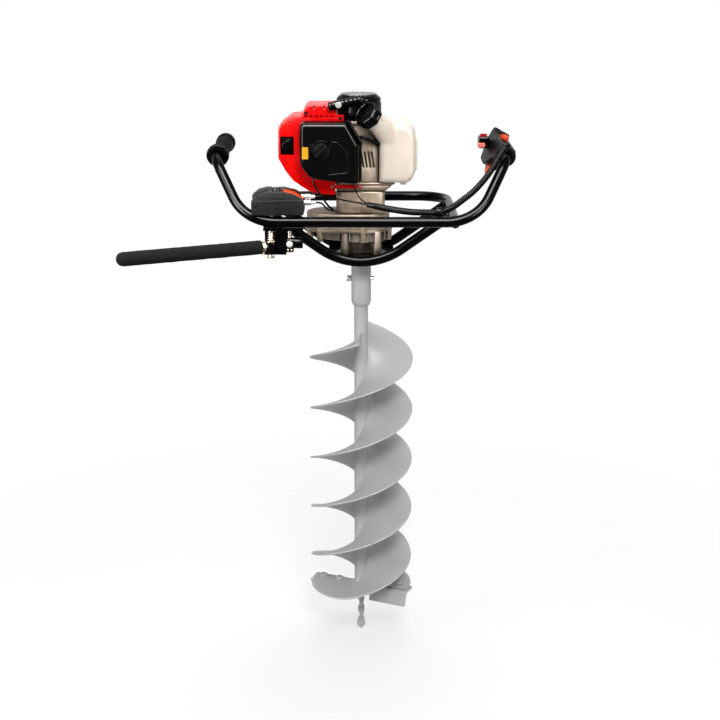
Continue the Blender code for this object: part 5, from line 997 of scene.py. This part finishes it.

# %% [markdown]
# Beside the cover's cut corner a rubber block seals it to the crankcase. On the left the plug's
# boot fills the opening in the red shroud. Dark plates behind the shroud's slots and opening close the
# view into the empty shell and are painted shade, where its inside lies in shade. All of these are simple
# loops of a rounded outline.

# %% Rubber seal, plug boot and plates of painted shade
seal = [(-0.0250, 0.0660), (-0.0205, 0.0665), (0.0030, 0.0250), (-0.0010, 0.0225)]
slab("cover_seal", seal, 0.0010, [(0.0004, -0.0786), (0, -0.0790), (0, -0.1000), (0.0008, -0.1008)],
     "black_matte")
slab("boot_cap", rectangle(-0.1468, -0.1232, 0.0020, 0.0325), 0.003,
     [(0.0006, -0.0420), (0, -0.0426), (0, -0.0530), (0.0010, -0.0545), (0.0030, -0.0552)], "rubber", 6)
lathe("boot_nose", [(0.0100, 0), (0.0100, 0.0075), (0.0092, 0.0100), (0.0002, 0.0104)], 0.0018, "black_gloss",
      place=(-0.1345, -0.0530, 0.0172), axis=FORWARD, sides=40,
      wave=lambda r, d, a: np.where(r > 0.004, 0.0006 * np.cos(4 * a), 0))
# Black plates of painted shade behind the slots and the opening, where the shell's inside lies in shade.
shade_plates = {"boot_back": (rectangle(-0.1485, -0.1190, -0.0010, 0.0380), 0.001, -0.0405, -0.0425),
          "slot_liner": (rectangle(-0.1075, -0.0470, 0.0672, 0.0728), 0.001, -0.0526, -0.0540),
          "slit_liner": (rectangle(-0.0920, -0.0600, 0.0840, 0.0866), 0.0006, -0.0550, -0.0340)}
for name, (corners, radius, near, far) in shade_plates.items():
    slab(name, corners, radius, [(0, near), (0, far)], "black_matte", 4)
print("dark liners:", len(shade_plates))

# %% [markdown]
# ## The starter
# The recoil starter is a pressed cup over the flywheel. Its outer wall is smooth with a rounded shoulder,
# and a shallow stepped disc closes it. A turned profile makes both.

# %% Starter cup and disc
STARTER_X, STARTER_Z, STARTER_R, STARTER_H = -0.0046, 0.0604, 0.0412, 0.0437
LID_Z = STARTER_Z + STARTER_H
cup = [(STARTER_R - 0.003, 0), (STARTER_R + 0.0008, 0), (STARTER_R + 0.0008, 0.0300),
       (STARTER_R - 0.0006, 0.0312), (STARTER_R, STARTER_H - 0.0055), (STARTER_R - 0.0050, STARTER_H - 0.0004),
       (0.0345, STARTER_H), (0.0002, STARTER_H)]
lathe("starter_cup", cup, 0.0022, "black_gloss", "frame", ["starter_housing"], (STARTER_X, 0, STARTER_Z),
      sides=96, steps=6)
slab("rope_outlet", rectangle(STARTER_X - 0.0098, STARTER_X + 0.0098, 0.0857, 0.1018), 0.003,
     [(0, -0.034), (0, -0.0470), (0.0008, -0.0482), (0.0030, -0.0485)], "black_gloss", 9)
disc = [(0.0334, 0.0), (0.0334, 0.0030), (0.0318, 0.0040), (0.0290, 0.0040), (0.0284, 0.0034),
        (0.0225, 0.0034), (0.0219, 0.0039), (0.0150, 0.0039), (0.0144, 0.0031), (0.0060, 0.0031),
        (0.0054, 0.0037), (0.0002, 0.0037)]
lathe("starter_lid", disc, 0.0004, "smoke_plastic", "frame", ["starter_disc"], (STARTER_X, 0, LID_Z - 0.0005),
      sides=96, wave=lambda r, d, a: np.where((r > 0.0285) & (r < 0.033), 0.0002 * np.cos(24 * a), 0))
for k in range(3):
    a = math.radians(30 + 120 * k)
    at = (STARTER_X + 0.0186 * math.cos(a), 0.0186 * math.sin(a), LID_Z + 0.0024)
    hex_head(f"starter_screw_{k}", at, 0.0046, 0.0008, "zinc")
print("starter cup:", round(2000 * STARTER_R), "mm across")

# %% [markdown]
# The pull handle lies across the cup and hangs on the rope. It is a bar with grooves for hold, a short
# stem towards the rope's outlet and a round badge without a mark. Its radius is a row of soft notches.

# %% Starter handle
PULL_AT, PULL_TILT = np.array([-0.0295, -0.0680, 0.0945]), math.radians(12)
PULL_HALF, PULL_R, LOBE_PITCH = 0.0313, 0.0084, 0.0078
pull_body = body_of["starter_handle"]
s = np.linspace(-PULL_HALF, PULL_HALF, 220)
lobes = PULL_R - 0.0022 * np.clip(np.abs(((s / LOBE_PITCH) % 1) - 0.5) * 7 - 2.3, 0, 1)
lobes[np.abs(s + 0.0117) < 0.0070] = PULL_R
tips = np.sqrt(np.clip(1 - (np.clip(np.abs(s) - 0.0273, 0, 1) / 0.0042) ** 2, 0.01, 1))
pull = turned(np.stack([lobes * tips, s], 1), PULL_AT, (math.cos(PULL_TILT), 0, math.sin(PULL_TILT)), 40)
surface("pull_handle", pull, "black_gloss", pull_body, ["starter_handle"])
lathe("pull_stem", [(0.0002, 0), (0.0054, 0), (0.0046, 0.0175), (0.0002, 0.0175)], 0.001, "black_gloss",
      pull_body, place=(STARTER_X, -0.0680, 0.0978), axis=(0, 1, -0.12), sides=28)
lathe("pull_badge", [(0.0002, 0), (0.0056, 0), (0.0056, 0.0006), (0.0050, 0.0010), (0.0002, 0.0010)], 0.0002,
      "pale_label", pull_body, place=(-0.0409, -0.0762, 0.0921), axis=FORWARD, sides=40)
print("starter handle:", round(2000 * PULL_HALF), "mm long")

# %% [markdown]
# ## The release lever
# The operator's thigh rests against a long arm with a foam sleeve. Closed-cell foam has a skin with small
# dents, so the sleeve's radius gets a fixed set of low waves. A noise displacement would look alike, but
# the waves are part of the grid's formula.

# %% Foam sleeve
PIVOT = np.array([-0.1614, -0.157, -0.1506])
LEVER_ANGLE = math.radians(26)
LEVER_AHEAD = np.array([-math.cos(LEVER_ANGLE), -math.sin(LEVER_ANGLE), 0])
FOAM_R, FOAM_BORE, FOAM_NEAR, FOAM_FAR, SKIN_R = 0.0134, 0.0073, 0.019, 0.2853, 0.0115
DENTS, DENT_SIZE, SKIN_INSET = 14, 0.000045, 0.0009
dice = np.random.default_rng(7)
dent_rows = dice.uniform(30, 420, DENTS)[:, None, None]
dent_round = dice.integers(1, 9, DENTS)[:, None, None]
dent_shift = dice.uniform(0, 6.28, DENTS)[:, None, None]


def dented(radius, distance, a):
    """A sum of 14 waves 0.000045 sin(k s + n a + shift) less 0.0009, on the outer skin alone."""
    waves = np.sin(dent_rows * distance[None] + dent_round * a[None] + dent_shift).sum(0)
    return np.where(radius > SKIN_R, DENT_SIZE * waves - SKIN_INSET, 0)


near_end = softened([(FOAM_BORE, FOAM_NEAR + 0.004), (FOAM_BORE, FOAM_NEAR), (FOAM_R, FOAM_NEAR),
                     (FOAM_R, FOAM_FAR - 0.016)], 0.0022, 5)
run = np.stack([np.full(120, FOAM_R), np.linspace(FOAM_NEAR + 0.004, FOAM_FAR - 0.0165, 120)], 1)
a = np.linspace(0, math.pi / 2, 12)
dome = np.stack([np.maximum(FOAM_R * np.cos(a), 0.0004), FOAM_FAR - 0.0145 * (1 - np.sin(a))], 1)
foam_rows = np.concatenate([near_end[:-1], run, dome])
foam = surface("lever_sleeve", turned(foam_rows, PIVOT, LEVER_AHEAD, 56, dented), "foam", body_of["lever_foam"],
               ["lever_foam"])
print("foam sleeve:", round(1000 * (FOAM_FAR - FOAM_NEAR)), "mm")

# %% [markdown]
# Above the arm's eye sits a torsion spring of one wire: two straight legs and four turns between them. The
# coil is (r cos 2 pi t, -r sin 2 pi t, top - fall * t) for t from 0 to 4, and the legs leave its ends.

# %% Torsion spring
SPRING_R, WIRE_R, SPRING_TOP, SPRING_LOW, COILS = 0.0062, 0.0010, -0.1224, -0.1405, 4
t = np.linspace(0, COILS, 241)
coil = np.stack([PIVOT[0] + SPRING_R * np.cos(2 * np.pi * t), PIVOT[1] - SPRING_R * np.sin(2 * np.pi * t),
                 SPRING_TOP + (SPRING_LOW - SPRING_TOP) * t / COILS], 1)
leg_in = np.linspace((PIVOT[0] + SPRING_R, PIVOT[1] + 0.012, SPRING_TOP), coil[0], 16)[:-1]
leg_out = np.linspace(coil[-1], (PIVOT[0] + SPRING_R, PIVOT[1] - 0.010, SPRING_LOW), 16)[1:]
spring_path = np.concatenate([leg_in, coil, leg_out])
surface("torsion_spring", sweep(spring_path, WIRE_R, 12), "aged_zinc", body_of["return_spring"],
        ["return_spring"])
print("spring wire:", round(1000 * length_of(spring_path)), "mm")

# %% [markdown]
# The bracket's fasteners are what the eye finds first at this corner. Each is a turned piece, seated on the
# solid that carries it.

# %% Bracket and lever fasteners
ROD_X = PIVOT[0] + 0.034
hex_head("clamp_bolt_top", (ROD_X, PIVOT[1] - 0.0098, -0.1452), 0.0090, 0.0030, "zinc", axis=FORWARD,
         washer=0.0058)
lever_body = body_of["lever_arm"]
lathe("arm_collar", rectangle(0.0071, 0.0098, 0, 0.0065), 0.0008, "aged_zinc", lever_body,
      place=PIVOT + LEVER_AHEAD * 0.0118, axis=LEVER_AHEAD, sides=40, closed=True)
hex_head("arm_screw", PIVOT + LEVER_AHEAD * 0.0150 + (0, 0, -0.0095), 0.0072, 0.0034, "aged_zinc", lever_body,
         axis=(0, 0, -1))
print("fasteners at the lever: 3")

# %% [markdown]
# The cable box has a raised line where its lid begins, and two small screws. The adjusters at its right
# are turned from brass bar and plated. A smooth nut and a fluted barrel let the fingers turn them.

# %% Cable box and adjusters
BOX = np.array([-0.1485, -0.132, -0.0972])
BOX_FACE_Y = BOX[1] - 0.0330
BARREL = (0.0074, 0.0176)
lid_line = np.linspace((BOX[0] - 0.0462, BOX_FACE_Y - 0.0001, BOX[2] + 0.0282),
                       (BOX[0] + 0.0462, BOX_FACE_Y - 0.0001, BOX[2] + 0.0302), 40)
surface("box_lid_line", sweep(lid_line, 0.0006, 8), "box_plastic")
for k, x in enumerate((-0.038, 0.036)):
    at = (BOX[0] + x, BOX_FACE_Y, BOX[2] + 0.0205)
    hex_head(f"box_screw_{k}", at, 0.0042, 0.0010, "black_matte", axis=FORWARD)
steps = softened([(0.0020, 0.0), (0.0046, 0.0), (0.0046, 0.0068), (0.0050, 0.0072), (0.0050, 0.0178),
                  (0.0034, 0.0184), (0.0028, 0.0255), (0.0020, 0.0255)], 0.0004)
dense = np.concatenate([np.linspace(p, q, 5)[:-1] for p, q in zip(steps, steps[1:])] + [steps[-1:]])


def barrel_grip(radius, distance, a):
    """Sixteen flutes of 0.18 mm round the barrel."""
    barrel = (distance > BARREL[0]) & (distance < BARREL[1]) & (radius > 0.004)
    return np.where(barrel, 0.00018 * np.cos(16 * a) - 0.0001, 0)


for name, z in (("upper", -0.0667), ("lower", -0.0774)):
    place = (BOX[0] + 0.0400, BOX[1] + 0.012, z)
    barrel = turned(dense, place, (1, 0, 0), 36, barrel_grip)
    surface(f"adjuster_{name}", barrel, "zinc", "frame", [f"{name}_adjuster"])
print("adjusters: 2")

# %% [markdown]
# ## The fuel tank
# The tank is blown from one tube of plastic, so its neck flows into the body with a wide, soft fillet that
# no bevel gives. The body and the neck are made as two closed forms, and a voxel Remesh turns them into
# one skin. Smoothing then melts the corner between them, as blown plastic does. The mould's joint is left
# as a fine ridge round the middle.

# %% Tank sizes and the neck's path
TANK_FRONT = [(0.0332, -0.050), (0.0332, 0.040), (0.050, 0.062), (0.084, 0.058), (0.0975, 0.047),
              (0.1005, 0.028), (0.1005, -0.030), (0.096, -0.042), (0.088, -0.0517), (0.040, -0.0517)]
TANK_RADII = [0.004, 0.012, 0.014, 0.010, 0.010, 0.012, 0.010, 0.008, 0.008, 0.005]
TANK_EDGE, TANK_HALF_DEPTH, RIDGE_R = 0.0125, 0.0475, 0.0009


def round_slab(radius, half, steps):
    """Rows of a slab from -half to half in depth, with rounded edges."""
    return quarter(radius, 0, -half, -1, steps)[::-1] + quarter(radius, 0, half, 1, steps)


NECK_AT, NECK_AXIS = np.array([0.0467, -0.0478, 0.0435]), unit([-0.62, -0.55, 0.56])
NECK_ROOT = np.array([0.0680, -0.0250, 0.0080])
NECK_TURN, NECK_TOP = NECK_AT + NECK_AXIS * 0.004, NECK_AT + NECK_AXIS * 0.036
bend = np.linspace(0, 1, 40)[:, None]
neck_path = (1 - bend) ** 2 * NECK_ROOT + 2 * bend * (1 - bend) * NECK_TURN + bend**2 * NECK_TOP
neck_path = np.concatenate([neck_path, NECK_TOP + NECK_AXIS * np.linspace(0.002, 0.023, 10)[:, None]])
neck_radii = np.concatenate([0.0188 + 0.0072 * (1 - bend[:, 0]) ** 1.6, np.linspace(0.0187, 0.0180, 10)])
print("neck path:", round(1000 * length_of(neck_path)), "mm")

# %% [markdown]
# A voxel Remesh reads one closed mesh, so both forms get flat ends and share one list of vertices. The
# finer its voxels, the longer it takes. Here they are 1.5 mm, a twelfth of the neck's radius.

# %% One skin from two forms
def closed_mesh(points, first=0):
    """The vertices and faces of one closed grid, whose numbers begin at first."""
    rows, columns = points.shape[:2]
    low, high = np.arange(columns)[::-1], (rows - 1) * columns + np.arange(columns)
    faces = grid_quads(rows, columns) + [tuple(low), tuple(high)]
    return points.reshape(-1, 3), [tuple(v + first for v in face) for face in faces]


def one_skin(thing, voxel, rounds):
    """Makes a closed mesh again from voxels, and moves each vertex towards its neighbours' mean so often."""
    thing.modifiers.clear()
    skin = thing.modifiers.new("voxels", "REMESH")
    skin.mode, skin.voxel_size, skin.use_smooth_shade = "VOXEL", voxel, True
    soft = thing.modifiers.new("soften", "SMOOTH")
    soft.factor, soft.iterations = 0.5, rounds


body_verts, body_faces = closed_mesh(moulded(TANK_FRONT, TANK_RADII, round_slab(TANK_EDGE, TANK_HALF_DEPTH, 8)))
neck_verts, neck_faces = closed_mesh(sweep(neck_path, neck_radii, 64), len(body_verts))
mesh = bpy.data.meshes.new("tank_skin")
mesh.from_pydata(np.concatenate([body_verts, neck_verts]).tolist(), [], body_faces + neck_faces)
one_skin(piece("tank_skin", mesh, "tank_plastic", "frame", ["fuel_tank"]), 0.0015, 22)
ridge = moulded(TANK_FRONT, TANK_RADII, [(-0.0001, 0.0)])[0]
surface("mould_ridge", sweep(np.concatenate([ridge, ridge[:1]]), RIDGE_R, 8), "tank_plastic")
slab("tank_pad", rectangle(0.0990, 0.1038, -0.0300, 0.0290), 0.0012, round_slab(0.0015, 0.0325, 4),
     "tank_plastic", 9)
lathe("tank_foot", rectangle(0.0002, 0.0058, 0, 0.008), 0.0010, "tank_plastic",
      place=(0.078, -0.030, -0.0575), sides=32)
print("tank skin made from", len(mesh.polygons), "faces")

# %% [markdown]
# The cap's rim is moulded with eight broad panels, and each panel has a shallow pocket with a raised
# edge. The pockets are in the grid too: the radius falls by a little where both the angle and the height
# are inside the pocket.

# %% Fuel cap
CAP_R, CAP_H, CAP_SEAT = 0.024, 0.020, 0.045


def cap_wave(radius, distance, a):
    """Eight flats: r = R cos 22.5 deg / cos(angle from the flat's middle), rounded, less 1.3 mm in pockets."""
    flat = (a + math.pi / 8) % (math.pi / 4) - math.pi / 8
    wall = np.clip((radius - 0.017) / 0.005, 0, 1)
    panel = np.minimum(CAP_R * math.cos(math.pi / 8) / np.cos(flat) * 1.022, CAP_R) - CAP_R
    high, wide = np.abs(distance - CAP_H / 2), np.abs(flat)
    pocket = np.clip((0.0060 - high) / 0.0006, 0, 1) * np.clip((0.240 - wide) / 0.022, 0, 1)
    return wall * (panel - 0.0013 * pocket)


cap_profile = softened([(0.0182, 0.001), (0.0182, 0.0), (0.0236, 0.0), (0.0240, 0.0012),
                        (0.0240, CAP_H - 0.0030), (0.0222, CAP_H - 0.0004), (0.0195, CAP_H),
                        (0.0180, CAP_H - 0.0008), (0.0002, CAP_H - 0.0008)], 0.0012, 5)
fine = np.concatenate([np.linspace(p, q, max(2, int(np.linalg.norm(q - p) / 0.0006)))[:-1]
                       for p, q in zip(cap_profile, cap_profile[1:])] + [cap_profile[-1:]])
surface("screw_cap", turned(fine, NECK_AT + NECK_AXIS * CAP_SEAT, NECK_AXIS, 256, cap_wave), "black_gloss",
        body_of["fuel_cap"], ["fuel_cap"])
lathe("cap_grip", [(0.0002, 0), (0.0085, 0), (0.0085, 0.0006), (0.0075, 0.0008), (0.0002, 0.0008)], 0.0002,
      "black_gloss", body_of["fuel_cap"], (), NECK_AT + NECK_AXIS * (CAP_SEAT + CAP_H - 0.0010), NECK_AXIS, 40)
print("cap panels: 8")

# %% [markdown]
# The filter's foam element lies behind its lid. It is soft.

# %% Filter foam
element = [(-0.1015, 0.0545), (-0.0315, 0.0545), (-0.0130, 0.0215), (-0.0130, -0.0350), (-0.0860, -0.0265),
           (-0.1015, -0.0080)]
element_rows = [(0.0006, -0.0784), (0, -0.0790), (0, -0.0974), (0.0006, -0.0980)]
air_foam = slab("air_foam", element, 0.004, element_rows, "foam", 9, ["filter_element"])
print("filter foam made")

# %% [markdown]
# ## Castings and their screws
# The gearbox halves are clamped by socket screws round their flange, and the clutch housing stands on the
# upper half. Each screw head is a short turned cylinder with a six-sided hollow. Small cast pads under the
# heads break up the plain walls, as the photograph shows. The ribs below the flange are the solid's own.

# %% Socket screws and cast pads
CASE_R = 0.044 + 0.002 + 0.002 + 0.0045
SPLIT_Z, PLATE_Z, HOUSING_FOOT_Z = -0.13893, -0.18693, -0.05215
LAYSHAFT_X = -0.054


def socket_screw(name, centre, radius, height, slot_name, axis=(0, 0, 1)):
    """A cap screw: a knurled cylinder, radius r (1 + 0.02 cos 20 a), with a hexagonal hollow in its top."""
    def knurl(r, d, a):
        key = 0.55 * radius / np.cos((a % (math.pi / 3)) - math.pi / 6) * 0.92
        inner = (r < 0.6 * radius) & (r > 0.3 * radius)
        return np.where(inner, key - r, np.where(r > 0.98 * radius, 0.02 * radius * np.cos(20 * a), 0))

    rows = [(radius, 0.0), (radius, height * 0.88), (radius * 0.90, height), (radius * 0.62, height),
            (radius * 0.55, height * 0.99), (radius * 0.55, height * 0.45), (0.0001, height * 0.45)]
    surface(name, turned(rows, centre, axis, 40, knurl), slot_name)


pad = [(0.0058, -0.0235), (0.0062, -0.0080), (0.0062, 0.0078), (0.0001, 0.0080)]
flange_a = np.radians([-150, -118, -86, -54, -20, 14, 48, 84, 120, 152])
for k, a in enumerate(flange_a):
    cx, r = (LAYSHAFT_X, CASE_R - 0.0040) if math.cos(a) < -0.45 else (0.0, CASE_R + 0.0012)
    x, y = cx + r * math.cos(a), r * math.sin(a)
    lathe(f"flange_boss_{k}", pad, 0.0012, "cast_alloy", place=(x, y, SPLIT_Z), sides=28)
    socket_screw(f"flange_screw_{k}", (x, y, SPLIT_Z + 0.0078), 0.0040, 0.0042, "zinc")
for k, (x, y) in enumerate((x, y) for x in (-0.030, 0.030) for y in (-0.046, 0.046)):
    hex_head(f"foot_bolt_{k}", (x, y, PLATE_Z - 0.0052), 0.0100, 0.0042, "zinc", axis=(0, 0, -1), washer=0.0070)
for k, (x, y) in enumerate((x, y) for x in (-0.0385, 0.0350) for y in (-0.03773, 0.03773)):
    socket_screw(f"neck_screw_{k}", (x, y, HOUSING_FOOT_Z), 0.0034, 0.0034, "zinc")
print("flange screws:", len(flange_a))

# %% [markdown]
# The red cover is held to the engine by four screws: two on its lower strip, one in the top corner at the
# left, and one above the filter cover. Those on the strip are bare metal in the darker alloy, which is painted
# shade, and the others are black.

# %% Screws of the red cover
cover_screws = [(-0.0530, -0.0580), (-0.0035, -0.0580), (-0.1000, 0.0765), (-0.0380, 0.0675)]
for k, (x, z) in enumerate(cover_screws):
    socket_screw(f"cover_screw_{k}", (x, -0.0580, z), 0.0030, 0.0026, "sooty_alloy" if z < 0 else "black_matte",
                 (0, -1, 0))
print("cover screws:", len(cover_screws))

# %% [markdown]
# A third lead comes down from behind the filter cover to the clutch housing, beside the brake cable. It
# stands for no solid, but it is made like the other cords.

# %% Third lead
lead_points = [(-0.0890, -0.0700, -0.0420), (-0.0850, -0.0735, -0.0520), (-0.0780, -0.0740, -0.0640),
               (-0.0690, -0.0700, -0.0790), (-0.0600, -0.0620, -0.0930), (-0.0520, -0.0510, -0.1010)]
plain_cord("side_lead", lead_points, 0.0019)

# %% [markdown]
# ## The throttle handle
# The handle's two shells are soft, hand-shaped mouldings, while their solids have few faces. A copy of each
# solid is turned into fine voxels and smoothed, so its outline stays and its facets melt into curves. The
# copy is merged first, because a voxel Remesh needs a closed skin. Smoothing by hand in sculpt mode would
# look alike but could not be repeated from the file.

# %% Melt the facets of a solid
def melted(node, name, slot_name, voxel, rounds):
    """A copy of a solid, merged and made again as one voxel skin."""
    work = bmesh.new()
    work.from_mesh(frame["nodes"][node].data)
    bmesh.ops.remove_doubles(work, verts=work.verts, dist=MERGE_WITHIN)
    mesh = bpy.data.meshes.new(name)
    work.to_mesh(mesh)
    work.free()
    one_skin(piece(name, mesh, slot_name, body_of[node], [node]), voxel, rounds)


copies = (("handle_shell_inner", "grip_shell_inner", "grey_rubber", 0.0011, 12),
          ("handle_shell_outer", "grip_shell_outer", "black_matte", 0.0011, 12),
          ("throttle_trigger", "trigger", "orange_plastic", 0.0007, 6),
          ("throttle_lock_lever", "lock_lever", "orange_plastic", 0.0006, 5),
          ("switch_pod", "pod", "black_gloss", 0.0008, 5))
for copy in copies:
    melted(*copy)
print("melted copies:", len(copies))

# %% [markdown]
# The handle's rubber collar and the clip on the front tube keep their solids. The left bracket gets the
# parts that make it read as a hinge: a cup round the spring, an aged rod through the clamp with its nut,
# a washer on the eye and a web between the two.

# %% Spring cup, clamp rod and nut
def part_ring(name, centre, radii, heights, sector, slot_name, steps=48):
    """A bent plate: points centre + r (cos a, sin a) for a over the sector, whose cross section is a rounded
    rectangle of two radii and two heights."""
    section = outline_inset(rectangle(*radii, *heights), [0.0004] * 4, 0, 4)
    a = np.linspace(*np.radians(sector), steps)[:, None]
    r, z = section[None, :, 0], np.broadcast_to(section[:, 1], (steps, len(section)))
    surface(name, np.stack([centre[0] + r * np.cos(a), centre[1] + r * np.sin(a), z], -1), slot_name)


part_ring("spring_cup", PIVOT, (0.0092, 0.0108), (-0.1416, -0.1205), (-35, 215), "black_paint")
lathe("clamp_rod", rectangle(0.0002, 0.0039, -0.1530, -0.1208), 0.0004, "aged_zinc",
      place=(ROD_X, PIVOT[1], 0), sides=28)
hex_head("clamp_nut", (ROD_X, PIVOT[1], -0.1603), 0.0130, 0.0070, "aged_zinc")
lathe("eye_washer", rectangle(0.0044, 0.0095, 0, 0.0012), 0.0003, "aged_zinc",
      place=(PIVOT[0], PIVOT[1], -0.1420), sides=40, closed=True)
slab("hinge_web", rectangle(PIVOT[0] + 0.0086, PIVOT[0] + 0.0240, -0.1620, -0.1190), 0.0015,
     [(0.0002, -0.1500), (0, -0.1502), (0, -0.1518), (0.0002, -0.1520)], "black_paint")
print("hinge parts: 5")

# %% [markdown]
# ## The size
# The dressed model must stay inside the solids' box, because the box is what a scene reserves for it. Its
# size is printed at the end.

# %% Print the sizes
low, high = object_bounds()
print("visual in mm:", [round(1000 * (b - a), 1) for a, b in zip(low, high)])
